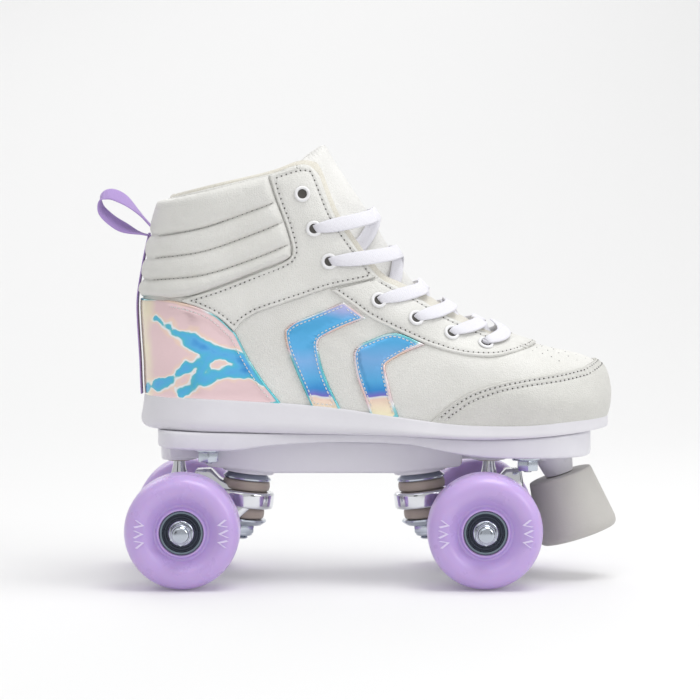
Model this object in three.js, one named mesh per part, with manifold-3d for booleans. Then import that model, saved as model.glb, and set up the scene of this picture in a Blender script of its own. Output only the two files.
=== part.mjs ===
// A quad roller skate: a laced high-top boot on a moulded plate, with two steering trucks, four wheels on
// ball bearings and a toe stop. It is the skate for the right foot. Millimetres, +Z up, +X towards the toe,
// +Y towards the inner side of the foot. The origin is on the ground, below the centre of the bounding box.
import * as THREE from 'three';
import { mergeVertices } from 'three/addons/utils/BufferGeometryUtils.js';
import Module from 'manifold-3d';

const wasm = await Module();
wasm.setup();

// ---------------------------------------------------------------- driving dimensions
const GAP = 0.3; // clearance between two pieces that touch
const BOOT_LENGTH = 240; // heel to toe
const BOOT_HEIGHT = 124; // sole seat to the tongue's top edge, measured at the front
const HEEL_WIDTH = 62;
const BALL_WIDTH = 84;
const COLLAR_WIDTH = 67;
const UPPER_WALL = 1.6;
const LINING_WALL = 3.2;
const PANEL_WALL = 1.2; // leather and foil pieces sewn on the upper
const QUILT_WALL = 2.4;
const BOARD_WALL = 1.8; // the closed bottom of the upper
const INSOLE_WALL = 3;
const TONGUE_WALL = 4.5;
const LACE_WIDTH = 7.5;
const LACE_THICKNESS = 1.2;
const EYELET_HOLE = 3.2; // radius
const TAPE_WIDTH = 11;
const TAPE_THICKNESS = 1;
const WHEELBASE = 152;
const TRACK = 88; // between the centres of a pair of wheels
const WHEEL_DIAMETER = 58;
const AXLE_HEIGHT = 29; // the plate and the boot are drawn above this axle, and larger wheels lift them all
const WHEEL_WIDTH = 32;
const BEARING_DIAMETER = 22;
const BEARING_WIDTH = 7;
const BEARING_SPREAD = 24; // over the outer faces of a wheel's two bearings
const AXLE_DIAMETER = 8;
const AXLE_LENGTH = 132;
const AXLE_NUT_FLATS = 13;
const AXLE_NUT_HEIGHT = 7;
const KINGPIN_DIAMETER = 8;
const KINGPIN_INSET = 31.5; // from the axle to where the kingpin leaves the plate
const KINGPIN_TILT = THREE.MathUtils.degToRad(7);
const KINGPIN_SEAT = 54.3; // height of the plate's seat for the upper washer
const CUSHION_RADIUS = 12;
const UPPER_CUSHION = 5;
const LOWER_CUSHION = 5.4;
const WASHER_THICKNESS = 3.2;
const RING_RADIUS = 15; // the hanger's ring between the cushions
const RING_THICKNESS = 8.6;
const PIVOT_OUTSET = 4; // from the axle to the pivot, outwards
const PIVOT_HEIGHT = 63;
const PIVOT_RADIUS = 4;
const CUP_WALL = 1.8;
const PLATE_BOTTOM = 55; // height of the beam's flat underside
const BEAM_HALF_WIDTH = 17;
const BEAM_END_HALF_WIDTH = 11; // beside the sole bolts
const TOE_STOP_HEIGHT = 33;
const TOE_STOP_TOP_RADIUS = 16.7;
const TOE_STOP_FOOT_RADIUS = 20.6;
const TOE_STOP_TILT = THREE.MathUtils.degToRad(18);
const TOE_STOP_AHEAD = 40.7; // from the front axle to the middle of the stop's top face
const TOE_STOP_TOP = 53.1; // height of that point
const STOP_BOLT_RADIUS = 4;
const SOLE_BOLT_RADIUS = 2.5;
const SOLE_BOLT_HEAD = 6; // radius
const SOLE_BOLT_HEAD_HEIGHT = 1.6;
const SOLE_NUT_FLATS = 10;
const SOLE_NUT_HEIGHT = 6.4;
const REAR_BOLTS = [-64, 19.5]; // their x and half the distance between the two
const FRONT_BOLTS = [98.5, 27];

// The boot's outlines below are drawn for a boot 240 long and 124 high, and stretched from there.
const STRETCH = BOOT_LENGTH / 240;
const RISE = BOOT_HEIGHT / 124;
const SEAT_Z = 84.5; // the sole's seat at the heel, where the stretch in height starts
const draw = ([x, z]) => [x * STRETCH, z < SEAT_Z ? z : SEAT_Z + (z - SEAT_Z) * RISE];

// ---------------------------------------------------------------- materials
const skin = (color, roughness, metalness = 0) => new THREE.MeshStandardMaterial({ color, roughness, metalness });
const LEATHER = skin(0xe6e5de, 0.5);
const GREY_LEATHER = skin(0xd3d2ca, 0.55);
const TEXTILE = skin(0xf0ecdf, 0.9);
const FOIL = skin(0x86c6ea, 0.18, 0.4);
const LACE = skin(0xf2f1f8, 0.85);
const LILAC_TAPE = skin(0xc9b2e6, 0.7);
const SOLE_RUBBER = skin(0xe8e6ec, 0.5);
const PLATE_PLASTIC = skin(0xe3e1ea, 0.35);
const LILAC_URETHANE = skin(0xc3a6e2, 0.4);
const CUSHION_URETHANE = skin(0xb3a093, 0.6);
const STEEL = skin(0xc4cacf, 0.25, 1);
const SHIELD = skin(0x2b3340, 0.3, 0.8);
const STOP_RUBBER = skin(0xc9c6c2, 0.7);
const CAST_METAL = skin(0xd3d6da, 0.18, 1);

// ---------------------------------------------------------------- small tools
const far = 400; // well outside the skate
const clamp01 = (t) => Math.min(1, Math.max(0, t));
const smooth = (t) => clamp01(t) ** 2 * (3 - 2 * clamp01(t));
const mix = (a, b, t) => a + (b - a) * t;

// A smooth curve through knots [parameter, value, value, ...], straight beyond its ends.
function curve(knots) {
  const slope = (i, k) => {
    const a = knots[Math.max(0, i - 1)];
    const b = knots[Math.min(knots.length - 1, i + 1)];
    return (b[k] - a[k]) / (b[0] - a[0]);
  };
  return (t) => {
    let i = knots.findIndex((knot) => knot[0] > t) - 1;
    if (t < knots[0][0]) i = 0;
    if (i < 0) i = knots.length - 2;
    const a = knots[i];
    const b = knots[i + 1];
    const w = b[0] - a[0];
    const u = (t - a[0]) / w;
    return a.slice(1).map((value, n) => {
      const k = n + 1;
      const ma = slope(i, k) * w;
      const mb = slope(i + 1, k) * w;
      if (u < 0) return value + ma * u;
      if (u > 1) return b[k] + mb * (u - 1);
      return (2 * u ** 3 - 3 * u ** 2 + 1) * value + (u ** 3 - 2 * u ** 2 + u) * ma
        + (3 * u ** 2 - 2 * u ** 3) * b[k] + (u ** 3 - u ** 2) * mb;
    });
  };
}

function solid(geometry) {
  const bare = geometry.index ? geometry.toNonIndexed() : geometry.clone();
  bare.deleteAttribute('normal');
  bare.deleteAttribute('uv');
  const merged = mergeVertices(bare, 1e-4);
  return new wasm.Manifold(new wasm.Mesh({
    numProp: 3,
    vertProperties: merged.attributes.position.array,
    triVerts: new Uint32Array(merged.index.array),
  }));
}

function geometryOf(manifold) {
  const { vertProperties, triVerts, numProp } = manifold.getMesh();
  const position = new Float32Array((vertProperties.length / numProp) * 3);
  for (let i = 0; i < position.length / 3; i += 1) {
    position.set(vertProperties.subarray(i * numProp, i * numProp + 3), i * 3);
  }
  const geometry = new THREE.BufferGeometry();
  geometry.setAttribute('position', new THREE.BufferAttribute(position, 3));
  geometry.setIndex(new THREE.BufferAttribute(triVerts, 1));
  return geometry;
}

const unite = (...parts) => parts.reduce((a, b) => a.add(b));
const cutFrom = (body, ...tools) => tools.reduce((a, b) => a.subtract(b), body);

// Rings of points, each with the same even count, closed into one solid. Each ring is seen anticlockwise from
// the side that the last ring is on. A cap joins the points that face each other across the ring.
function skinned(rings) {
  const count = rings[0].length;
  const points = rings.flat();
  const top = (rings.length - 1) * count;
  const faces = [];
  for (let i = 0; i < count; i += 1) {
    const next = (i + 1) % count;
    for (let row = 0; row < top; row += count) {
      faces.push(row + i, row + next, row + count + next, row + i, row + count + next, row + count + i);
    }
  }
  for (let i = 0; i < count / 2 - 1; i += 1) {
    const [a, b, c, d] = [i, i + 1, count - 2 - i, count - 1 - i];
    faces.push(a, c, b, a, d, c, top + a, top + b, top + c, top + a, top + c, top + d);
  }
  const geometry = new THREE.BufferGeometry();
  geometry.setAttribute('position', new THREE.BufferAttribute(new Float32Array(points.flatMap((p) => [...p])), 3));
  geometry.setIndex(faces);
  return geometry;
}

// A side-view outline of [x, z] points, extruded across the boot from y = low to y = high.
function sideways(outline, low, high) {
  const shape = new THREE.Shape(outline.map(([x, z]) => new THREE.Vector2(x, z)));
  const geometry = new THREE.ExtrudeGeometry(shape, { depth: high - low, bevelEnabled: false });
  return geometry.rotateX(Math.PI / 2).translate(0, high, 0);
}

// A turned piece from a profile of [radius, height] points about +Z.
const turned = (profile, segments) =>
  new THREE.LatheGeometry(profile.map(([r, h]) => new THREE.Vector2(r, h)), segments).rotateX(Math.PI / 2);

// A tube wall from z = low to z = high.
const tube = (outer, inner, low, high, segments) =>
  turned([[inner, low], [outer, low], [outer, high], [inner, high], [inner, low]], segments);

const rod = (radius, low, high, segments = 14) =>
  new THREE.CylinderGeometry(radius, radius, high - low, segments).rotateX(Math.PI / 2).translate(0, 0, (low + high) / 2);

const hexRod = (flats, low, high) =>
  new THREE.CylinderGeometry(flats / Math.sqrt(3), flats / Math.sqrt(3), high - low, 6)
    .rotateX(Math.PI / 2).translate(0, 0, (low + high) / 2);

const skate = new THREE.Group();
function add(name, shape, material, group = skate) {
  const mesh = new THREE.Mesh(shape.isBufferGeometry ? shape : geometryOf(shape), material);
  mesh.name = name;
  group.add(mesh);
  return mesh;
}

// ---------------------------------------------------------------- the boot's form
// The foot-shaped form is a stack of slices, level 0 at the sole's seat and level 1 at the collar.
// Each slice runs from a point on the back line to a point on the front line, which is the ridge of the toe,
// the instep and the tongue.
const backLine = curve([
  [0, -95.5, 84.5], [0.1, -96.3, 97], [0.25, -96.9, 113.5], [0.42, -98, 132], [0.53, -98.2, 144],
  [0.66, -96, 158.3], [0.78, -94, 171.5], [0.9, -91.5, 184.5], [1, -88.8, 195.3], [1.12, -85.5, 208.5],
].map(([level, ...point]) => [level, ...draw(point)]));
const frontLine = curve([
  [0, 139.5, 81.5], [0.1, 141.6, 91], [0.18, 141.4, 100], [0.24, 137.8, 109.5], [0.3, 127, 115.2],
  [0.36, 112, 118.7], [0.43, 94, 123.8], [0.5, 77, 131.4], [0.58, 60, 140.6], [0.66, 46, 150.5],
  [0.76, 33.5, 167], [0.88, 20.4, 189], [1, 3, 215.5], [1.12, -9, 237],
].map(([level, ...point]) => [level, ...draw(point)]));
// Length of the rounded nose of each slice, and its half-width above the foot.
const noseLength = curve([[0, 50], [0.12, 52], [0.26, 74], [0.36, 70], [0.5, 50], [0.7, 40], [0.85, 36], [1.12, 38]]);
const shaftHalfWidth = curve([[0, 0.47], [0.5, 0.485], [0.7, 0.465], [0.85, 0.475], [1, 0.5], [1.12, 0.505]]);
const HEEL_ROUNDING = 38;
const TOE_SHIFT = 5; // the toe leans towards the inner side
const WAIST_SHIFT = -2;

function formPoint(angle, level) {
  const [backX, backZ] = backLine(level);
  const [frontX, frontZ] = frontLine(level);
  const along = (1 - Math.cos(angle)) / 2;
  const x = mix(backX, frontX, along);
  const dip = -3.4 * Math.sin(Math.PI * along ** 1.6) * clamp01(1 - level / 0.35) ** 2;
  const z = mix(backZ, frontZ, along) + dip;
  const foot = mix(HEEL_WIDTH, BALL_WIDTH, smooth((x / STRETCH + 15) / 88)) / 2;
  const shaft = shaftHalfWidth(level)[0] * COLLAR_WIDTH;
  const width = mix(foot, shaft, smooth((level - 0.12) / 0.36)) * (1 - 0.03 * clamp01(1 - level / 0.1));
  const length = frontX - backX;
  const fromBack = clamp01((along * length) / HEEL_ROUNDING);
  const fromFront = clamp01(((1 - along) * length) / (noseLength(level)[0] * STRETCH));
  const blunt = mix(2.5, 2, smooth((level - 0.1) / 0.2));
  const round = Math.sqrt((1 - (1 - fromBack) ** 2.2) * (1 - (1 - fromFront) ** blunt));
  const low = clamp01(1 - level / 0.5);
  const shift = low * (TOE_SHIFT * smooth(x / STRETCH / 140) + WAIST_SHIFT * Math.exp(-(((x / STRETCH - 5) / 35) ** 2)));
  return new THREE.Vector3(x, shift - Math.sign(Math.sin(angle)) * width * round, z);
}

// The outward normal, from the slopes of the form.
function formNormal(angle, level) {
  const step = 1e-3;
  const across = formPoint(angle + step, level).sub(formPoint(angle - step, level));
  const up = formPoint(angle, level + step).sub(formPoint(angle, level - step));
  return across.cross(up).normalize();
}

const offsetPoint = (angle, level, offset) =>
  formPoint(angle, level).addScaledVector(formNormal(angle, level), offset);

// Angles run from the back line, 0, to the front line, 180 degrees, down the outer side, and back.
const HALF_RING = [8, 28, 54, 80, 103, 124, 143, 159, 173].map(THREE.MathUtils.degToRad);
const LEVELS = [0, 0.08, 0.16, 0.23, 0.29, 0.36, 0.43, 0.5, 0.57, 0.64, 0.71, 0.8, 0.9, 1, 1.1];
const angles = [...HALF_RING, ...[...HALF_RING].reverse().map((angle) => 2 * Math.PI - angle)];

// The ground line of the closed bottom, which is the same all the way across the boot.
function floorHeight(x) {
  const [backX] = backLine(0);
  const [frontX] = frontLine(0);
  return formPoint(Math.acos(1 - 2 * clamp01((x - backX) / (frontX - backX))), 0).z;
}

// Rings around the form at an offset that may change from place to place.
const ringsAt = (offsetAt, levels = LEVELS, around = angles) =>
  levels.map((level) => around.map((angle) => offsetPoint(angle, level, offsetAt(angle, level))));

// The form grown or shrunk by an offset, above its floor line raised by raise.
function form(offset, raise = 0) {
  const body = solid(skinned(ringsAt(() => offset)));
  if (raise === 0) return body;
  const xs = [-140, -95, -80, -60, -35, -10, 20, 50, 75, 95, 110, 122, 132, 140, 180].map((x) => x * STRETCH);
  const ground = [[-140 * STRETCH, 20], [180 * STRETCH, 20]];
  const below = sideways([...ground, ...xs.reverse().map((x) => [x, floorHeight(x) + raise])], -far, far);
  return body.subtract(solid(below));
}

// A point on the outside of the form at a side-view place. side is -1 for the outer half and 1 for the inner.
function onForm([x, z], side, offset) {
  let [low, high] = [0, 1.12];
  for (let i = 0; i < 40; i += 1) {
    const level = (low + high) / 2;
    const [bx, bz] = backLine(level);
    const [fx, fz] = frontLine(level);
    if (bz + ((fz - bz) * (x - bx)) / (fx - bx) < z) low = level;
    else high = level;
  }
  const [bx] = backLine(low);
  const [fx] = frontLine(low);
  const angle = Math.acos(1 - 2 * clamp01((x - bx) / (fx - bx)));
  return offsetPoint(side < 0 ? angle : 2 * Math.PI - angle, low, offset);
}

// ---------------------------------------------------------------- the boot's side-view outlines
const soleTop = curve([[-100, 95.3], [-66, 94.9], [-24, 92.2], [1, 90], [31, 85.9], [49, 83.4], [68, 81.6], [96, 81.2],
  [119, 82.8], [145, 84.5]]);
const soleBottom = curve([[-100, 78.4], [-49, 77.2], [3, 76.5], [31, 76], [68, 74.3], [87, 74.4], [105, 75.3],
  [125, 77], [145, 79]]);
const topOfSole = (x) => soleTop(x / STRETCH)[0];
const bottomOfSole = (x) => soleBottom(x / STRETCH)[0];

const COLLAR_LINE = [[-91, 194.5], [-60, 201.5], [-32, 208], [-19, 212.6], [-12.5, 212.8], [-8, 209], [-6.7, 207]].map(draw);
const THROAT_LINE = [[0.5, 188], [9.8, 173.5], [22.4, 157], [32, 151.5], [43, 145.5], [55.5, 137.6], [69, 131.3], [80, 126.6],
  [86, 125.6]].map(draw);
const upperOutline = [
  ...COLLAR_LINE, ...THROAT_LINE, draw([89, 140]), draw([160, 140]), draw([160, 60]), draw([-110, 60]), draw([-110, 192]),
].reverse();

// Where the eyelets sit. The top pair is left unlaced.
const EYELETS = [[-15.8, 198], [-9.9, 180.5], [-2.2, 164], [22.9, 144.5], [41.8, 135.5], [59.8, 128], [77, 122.5]].map(draw);
const SIDES = [['outer', -1], ['inner', 1]];

const quiltOutline = [[-91.5, 193.5], [-60, 200.5], [-33, 207], [-29.5, 196], [-25, 184], [-22, 173.5], [-21.5, 168],
  [-24, 164.8], [-40, 158.5], [-58, 151.5], [-77.5, 145.3], [-99.5, 145.6], [-97.5, 166], [-94.5, 180]].map(draw);
const ankleOutline = [[-32.4, 207.2], [-19, 211.6], [-13, 211.7], [-9, 208.4], [-0.3, 187.6], [9.2, 173.2], [21.6, 156.6],
  [19, 155], [-2.6, 150.2], [-24, 142.3], [-40, 136.8], [-46, 133.4], [-50.4, 128.2], [-59, 136.2], [-68, 140.6],
  [-77.2, 143.4], [-76.6, 144.9], [-57.7, 150.9], [-39.7, 157.9], [-23.4, 164.3], [-20.8, 168], [-21.4, 173.4],
  [-24.4, 183.8], [-28.9, 195.8]].map(draw);
const eyestayOutline = [[22.9, 156.1], [32, 150.8], [43, 145.3], [55.5, 137.8], [69, 131.3], [80, 126.4], [96, 124],
  [102.5, 121.6], [99, 119.3], [91, 117.4], [81.5, 116.4], [69, 116.8], [56.5, 119.4], [45, 123.3], [31.5, 129.2],
  [18, 136], [9, 142.3], [-1.4, 149.9], [19.2, 154.4]].map(draw);
const chevronOutlines = [
  [[5, 143.6], [-10.5, 137.2], [-21, 132.6], [-24.6, 129.4], [-23.7, 121], [-19.5, 109.5], [-15.2, 99.4], [-10.8, 90.2],
    [3.6, 90.2], [-1.6, 99.6], [-5.4, 109.2], [-7.5, 120.2], [-7.4, 125], [6.2, 131.4], [16.5, 135.3]],
  [[31, 128], [17.5, 124.4], [11, 120], [10, 114.6], [11.7, 105.4], [16, 93.4], [18.8, 87], [32.8, 86.6], [29.8, 94],
    [28, 101], [26.4, 109.8], [27.6, 113.6], [36.6, 118.4], [46, 122.4]],
].map((outline) => outline.map(draw));
const heelOutline = [[-112, 145.2], [-78.4, 143.2], [-68.3, 139.9], [-59.3, 135.6], [-50, 127.2], [-45, 117], [-39, 104.8],
  [-31, 90], [-112, 90]].map(draw);
const toeCapOutline = [[46.5, 80], [48.8, 83.2], [58, 91.4], [68.4, 98.1], [82.3, 102.7], [96.2, 105.4], [114, 107.6],
  [128, 110.3], [139, 112.6], [160, 114], [160, 76], [47, 76]].map(draw);

// ---------------------------------------------------------------- boot: the shaped layers
const LINING_OUT = -(UPPER_WALL + GAP);
const LINING_IN = LINING_OUT - LINING_WALL;
const PANEL_IN = GAP;
const SEAT_RAISE = BOARD_WALL + GAP; // the insole's underside above the outside of the closed bottom
const LINING_RAISE = SEAT_RAISE + INSOLE_WALL + GAP; // the lining stands on the insole's edge

const overSole = [145, 119, 96, 68, 49, 31, 1, -24, -66, -120].map((x) => x * STRETCH);
const belowSoleTop = solid(sideways([[-140 * STRETCH, 40], [180 * STRETCH, 40],
  ...overSole.map((x) => [x, topOfSole(x) + GAP])], -far, far));

const outerForm = form(0);
const panelCore = form(PANEL_IN);
const panelSkin = form(PANEL_IN + PANEL_WALL);
const panelShell = panelSkin.subtract(panelCore).subtract(belowSoleTop);
const quiltShell = form(PANEL_IN + QUILT_WALL).subtract(panelCore);

// A round hole along the form's normal at a side-view place.
function eyeletTool(place, side) {
  const [low, high] = [onForm(place, side, -9), onForm(place, side, 9)];
  const direction = high.clone().sub(low);
  const hole = new THREE.CylinderGeometry(EYELET_HOLE, EYELET_HOLE, direction.length(), 6);
  hole.applyQuaternion(new THREE.Quaternion().setFromUnitVectors(new THREE.Vector3(0, 1, 0), direction.normalize()));
  return solid(hole.translate(...low.add(high).multiplyScalar(0.5)));
}
const eyeletHoles = unite(...SIDES.flatMap(([, side]) => EYELETS.map((place) => eyeletTool(place, side))));

const belowAnkle = solid(new THREE.BoxGeometry(2 * far, 2 * far, 80).translate(0, 0, 70));
const halfSpace = (side, from = 0) =>
  solid(new THREE.BoxGeometry(2 * far, far, 2 * far).translate(0, side * (far / 2 + from), 0));

const within = (outline, body) => body.intersect(solid(sideways(outline, -far, far)));
const panel = (outline, shell, side) =>
  (side ? within(outline, shell).intersect(halfSpace(side, TAPE_WIDTH / 2 + GAP)) : within(outline, shell));

function boot() {
  const inside = form(-UPPER_WALL, BOARD_WALL);
  add('upper', cutFrom(within(upperOutline, outerForm), inside, eyeletHoles, boltHoles), LEATHER);
  const core = form(LINING_IN, LINING_RAISE - 4);
  add('lining', cutFrom(within(liningOutline, form(LINING_OUT, LINING_RAISE)), core, eyeletHoles), TEXTILE);

  const heads = unite(...boltPlaces.map(([x, y]) => solid(rod(SOLE_BOLT_HEAD + GAP, floorHeight(x), floorHeight(x)
    + SEAT_RAISE + SOLE_BOLT_HEAD_HEIGHT + GAP).translate(x, y, 0))));
  const insole = cutFrom(form(LINING_OUT, SEAT_RAISE), form(LINING_OUT + 2, SEAT_RAISE + INSOLE_WALL), heads);
  add('insole', insole.intersect(belowAnkle), TEXTILE);
  add('tongue', tongue(), LEATHER);

  add('toe_cap', panel(toeCapOutline, panelShell), GREY_LEATHER);
  add('eyestay', cutFrom(panel(eyestayOutline, panelShell), eyeletHoles), LEATHER);
  add('heel_foil', panel(heelOutline, panelShell), FOIL);
  for (const [name, side] of SIDES) {
    add(`ankle_panel_${name}`, cutFrom(panel(ankleOutline, panelShell, side), eyeletHoles), LEATHER);
    add(`collar_quilt_${name}`, panel(quiltOutline, quiltShell, side), LEATHER);
    add(`rear_chevron_${name}`, panel(chevronOutlines[0], panelShell, side), FOIL);
    add(`front_chevron_${name}`, panel(chevronOutlines[1], panelShell, side), FOIL);
  }
  add('heel_tape', heelTape(), LILAC_TAPE);
  add('lace', lace(), LACE);
}

// The lining's edge stands a little above the upper's, and it stops behind the tongue's root in front.
const liningOutline = [
  [-91, 196], [-60, 203], [-32, 209.5], [-19, 214.1], [-12, 214.3], [-7, 210.4], [1.6, 189], [10.8, 174.6],
  [17, 160], [13, 150], [20, 138.5], [33, 131], [45, 126], [57, 121], [69, 116.5], [80, 112], [92, 107.5], [114, 106.5],
  [116, 118], [160, 140], [160, 60], [-110, 60], [-110, 193],
].map(draw).reverse();

// ---------------------------------------------------------------- the tongue
// Room around the lace beyond the gap. It covers the steps between the facets, which are larger on a larger
// boot and where a thicker lining makes the tongue fall away faster.
const LACE_CLEAR = 0.4 * STRETCH ** 2 * (LINING_WALL / 3.2) ** 2;

// The form's angle from the ridge, and its level, at a side-view place.
function addressOf([x, z]) {
  let [low, high] = [0, 1.12];
  for (let i = 0; i < 40; i += 1) {
    const level = (low + high) / 2;
    const [bx, bz] = backLine(level);
    const [fx, fz] = frontLine(level);
    if (bz + ((fz - bz) * (x - bx)) / (fx - bx) < z) low = level;
    else high = level;
  }
  const [bx] = backLine(low);
  const [fx] = frontLine(low);
  return [Math.PI - Math.acos(1 - 2 * clamp01((x - bx) / (fx - bx))), low];
}

// The angle from the ridge to the throat's edge, and the layer that hides the lace beside it.
const throatEdges = THROAT_LINE.map(addressOf).map(([angle, level]) => [level, angle]).sort((a, b) => a[0] - b[0]);
function throatAngle(level) {
  const above = throatEdges.find((edge) => edge[0] > level) || throatEdges.at(-1);
  const below = [...throatEdges].reverse().find((edge) => edge[0] <= level) || throatEdges[0];
  return above === below ? above[1] : mix(below[1], above[1], (level - below[0]) / (above[0] - below[0]));
}
const PADDED_FROM = 0.56; // the level where the padded lining begins beside the throat
const coverAt = (level) => mix(-UPPER_WALL, LINING_IN, smooth((level - PADDED_FROM) / 0.1));
const laceUnder = (level) => coverAt(level) - GAP - LACE_THICKNESS / 2 - 2 * LACE_CLEAR;
const RIDGE_OFFSET = -2.7;

// The tongue is proud at its ridge, and lies under the lace beside the throat.
function tongueOffset(fromRidge, level) {
  const beside = laceUnder(level) - LACE_THICKNESS / 2 - GAP - 2 * LACE_CLEAR;
  return mix(RIDGE_OFFSET, beside, smooth(fromRidge / (0.62 * Math.max(0.3, throatAngle(level)))));
}

const tongueOutline = [
  [-34, 190], [-15, 213.5], [-11, 219], [-6, 223.3], [30, 226], [90, 150], [112, 125], [112, 109], [93, 110.5], [81, 115],
  [70, 119.5], [58, 124], [46, 129], [34, 134], [23, 141], [17, 149], [16, 153.5], [2, 158], [-16, 170], [-30, 180],
].map(draw).reverse();

function tongue() {
  const half = [10, 100, 124, 136, 147, 157, 167, 176].map(THREE.MathUtils.degToRad);
  const around = [...half, ...[...half].reverse().map((angle) => 2 * Math.PI - angle)];
  const levels = [0.3, 0.37, 0.43, 0.48, 0.53, 0.58, 0.63, 0.68, 0.74, 0.81, 0.89, 0.97, 1.04, 1.11];
  const layer = (depth) => solid(skinned(ringsAt((angle, level) =>
    tongueOffset(Math.abs(angle - Math.PI), level) - depth, levels, around)));
  return within(tongueOutline, layer(0).subtract(layer(TONGUE_WALL)));
}

// ---------------------------------------------------------------- the lace
// From inside the top laced pair, each end comes out of its eyelet, goes over the eyestay and the tongue, and
// under the other side to the next eyelet towards the toe. A straight bar joins the lowest pair.
const LACE_OVER = PANEL_IN + PANEL_WALL + GAP + LACE_THICKNESS / 2 + 2 * LACE_CLEAR;
const LACE_IN_HOLE = 3.4; // width where it is gathered in an eyelet
const LACE_TAIL = 0.09; // how far its ends are tucked down inside, as a level
const LACE_STEP = THREE.MathUtils.degToRad(14);

// The level of the ridge point nearest to a side-view place.
function ridgeLevel([x, z]) {
  let [best, found] = [Infinity, 0];
  for (let level = 0.3; level < 1.1; level += 0.002) {
    const [fx, fz] = frontLine(level);
    const distance = Math.hypot(fx - x, fz - z);
    if (distance < best) [best, found] = [distance, level];
  }
  return found;
}

// side is -1 for the outer half and 1 for the inner.
const station = (side, fromRidge, level, offset, width = LACE_WIDTH) =>
  ({ point: offsetPoint(Math.PI + side * fromRidge, level, offset), width });

// Stations from the eyelet to the ridge, or back, on top of the boot or under its throat.
function reach(side, [angle, level], ridge, offsetAt) {
  const count = Math.ceil(angle / LACE_STEP);
  return Array.from({ length: count - 1 }, (_, i) => {
    const t = (i + 1) / count; // 0 at the eyelet
    const fromRidge = angle * (1 - t);
    const here = mix(level, ridge, t);
    return station(side, fromRidge, here, offsetAt(fromRidge, here));
  });
}

function laceHalf(side, lift) {
  const laced = EYELETS.slice(1);
  const [topAngle, topLevel] = addressOf(laced[0]);
  const stations = [0.5, 0.25].map((turn, i) => {
    const level = topLevel - LACE_TAIL * (1 - i / 2);
    return station(side, topAngle + turn, level, laceUnder(level), 5);
  });
  // Over the edge it keeps the height of the eyestay's top, and then comes down to the ridge.
  const over = (fromRidge, level) => mix(lift, LACE_OVER, clamp01((1.3 * fromRidge) / throatAngle(level)));
  const under = (fromRidge, level) => tongueOffset(fromRidge, level) + LACE_THICKNESS / 2 + GAP + 2 * LACE_CLEAR;
  laced.forEach((eyelet, i) => {
    const here = i % 2 ? -side : side;
    const [angle, level] = addressOf(eyelet);
    stations.push(station(here, angle, level, laceUnder(level), LACE_IN_HOLE + 0.6));
    stations.push(station(here, angle, level, (laceUnder(level) + LACE_OVER) / 2, LACE_IN_HOLE));
    stations.push(station(here, angle, level, LACE_OVER, LACE_IN_HOLE + 0.6));
    if (i === laced.length - 1) return;
    const next = laced[i + 1];
    const ridge = (ridgeLevel(eyelet) + ridgeLevel(next)) / 2;
    stations.push(...reach(here, [angle, level], ridge, over), station(here, 0, ridge, lift));
    stations.push(...reach(-here, addressOf(next), ridge, under).reverse());
  });
  return stations;
}

// The direction of the throat, from the toe up to the collar, beside a point.
function throatDirection(point) {
  const level = Math.max(0.34, addressOf([point.x, point.z])[1]);
  const [ax, az] = frontLine(level - 0.04);
  const [bx, bz] = frontLine(level + 0.04);
  return new THREE.Vector3(bx - ax, 0, bz - az).normalize();
}

// A flat ribbon through the stations, whose width follows the throat's direction.
function ribbon(stations) {
  const rings = stations.map(({ point, width }, i) => {
    const before = stations[Math.max(0, i - 1)].point;
    const after = stations[Math.min(stations.length - 1, i + 1)].point;
    const tangent = after.clone().sub(before).normalize();
    const throat = throatDirection(point);
    const across = throat.addScaledVector(tangent, -throat.dot(tangent)).normalize();
    const up = tangent.clone().cross(across).normalize();
    return [[-1, -1], [1, -1], [1, 1], [-1, 1]].map(([a, b]) => point.clone()
      .addScaledVector(across, (a * width) / 2).addScaledVector(up, (b * LACE_THICKNESS) / 2));
  });
  return solid(skinned(rings));
}

function lace() {
  const lift = RIDGE_OFFSET + LACE_THICKNESS / 2 + GAP + 4 * LACE_CLEAR;
  const outer = laceHalf(-1, lift);
  const inner = laceHalf(1, lift + LACE_THICKNESS + LACE_CLEAR);
  // Each half ends at the lowest pair, and the bar carries the outer one across.
  const end = EYELETS.length % 2 ? 1 : -1;
  const last = addressOf(EYELETS.at(-1));
  const ridge = ridgeLevel(EYELETS.at(-1));
  const top = () => LACE_OVER + GAP;
  const bar = [...reach(end, last, ridge, top), station(end, 0, ridge, top()), ...reach(-end, last, ridge, top).reverse(),
    station(-end, last[0], last[1], top(), 4)];
  return ribbon([...outer, ...bar]).add(ribbon(inner));
}

// ---------------------------------------------------------------- the heel tape and its loop
function heelTape() {
  const standOff = PANEL_IN + PANEL_WALL + GAP + 0.7; // clears the foil where the heel is round
  const levels = [0.085, 0.16, 0.25, 0.34, 0.42, 0.5, 0.58, 0.66, 0.74, 0.83];
  const edge = (offset) => levels.map((level) => {
    const [x, z] = backLine(level);
    return [x - offset, z];
  });
  const strip = sideways([...edge(standOff), ...edge(standOff + TAPE_THICKNESS).reverse()], -TAPE_WIDTH / 2, TAPE_WIDTH / 2);
  const loopLine = new THREE.CatmullRomCurve3([[-93.5, 176], [-103, 178.4], [-112.5, 182.8], [-119.8, 189.5], [-120.4, 196],
    [-115.6, 198.2], [-108.5, 195.2], [-101, 188.6], [-93.6, 180.6]].map(draw).map(([x, z]) => new THREE.Vector3(x, 0, z)));
  const steps = 22;
  const inner = [];
  const outer = [];
  for (let i = 0; i <= steps; i += 1) {
    const point = loopLine.getPoint(i / steps);
    const tangent = loopLine.getTangent(i / steps);
    const half = TAPE_THICKNESS / 2;
    inner.push([point.x - tangent.z * half, point.z + tangent.x * half]);
    outer.push([point.x + tangent.z * half, point.z - tangent.x * half]);
  }
  const loop = sideways([...outer, ...inner.reverse()], -TAPE_WIDTH / 2, TAPE_WIDTH / 2);
  return solid(strip).add(solid(loop));
}

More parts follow.
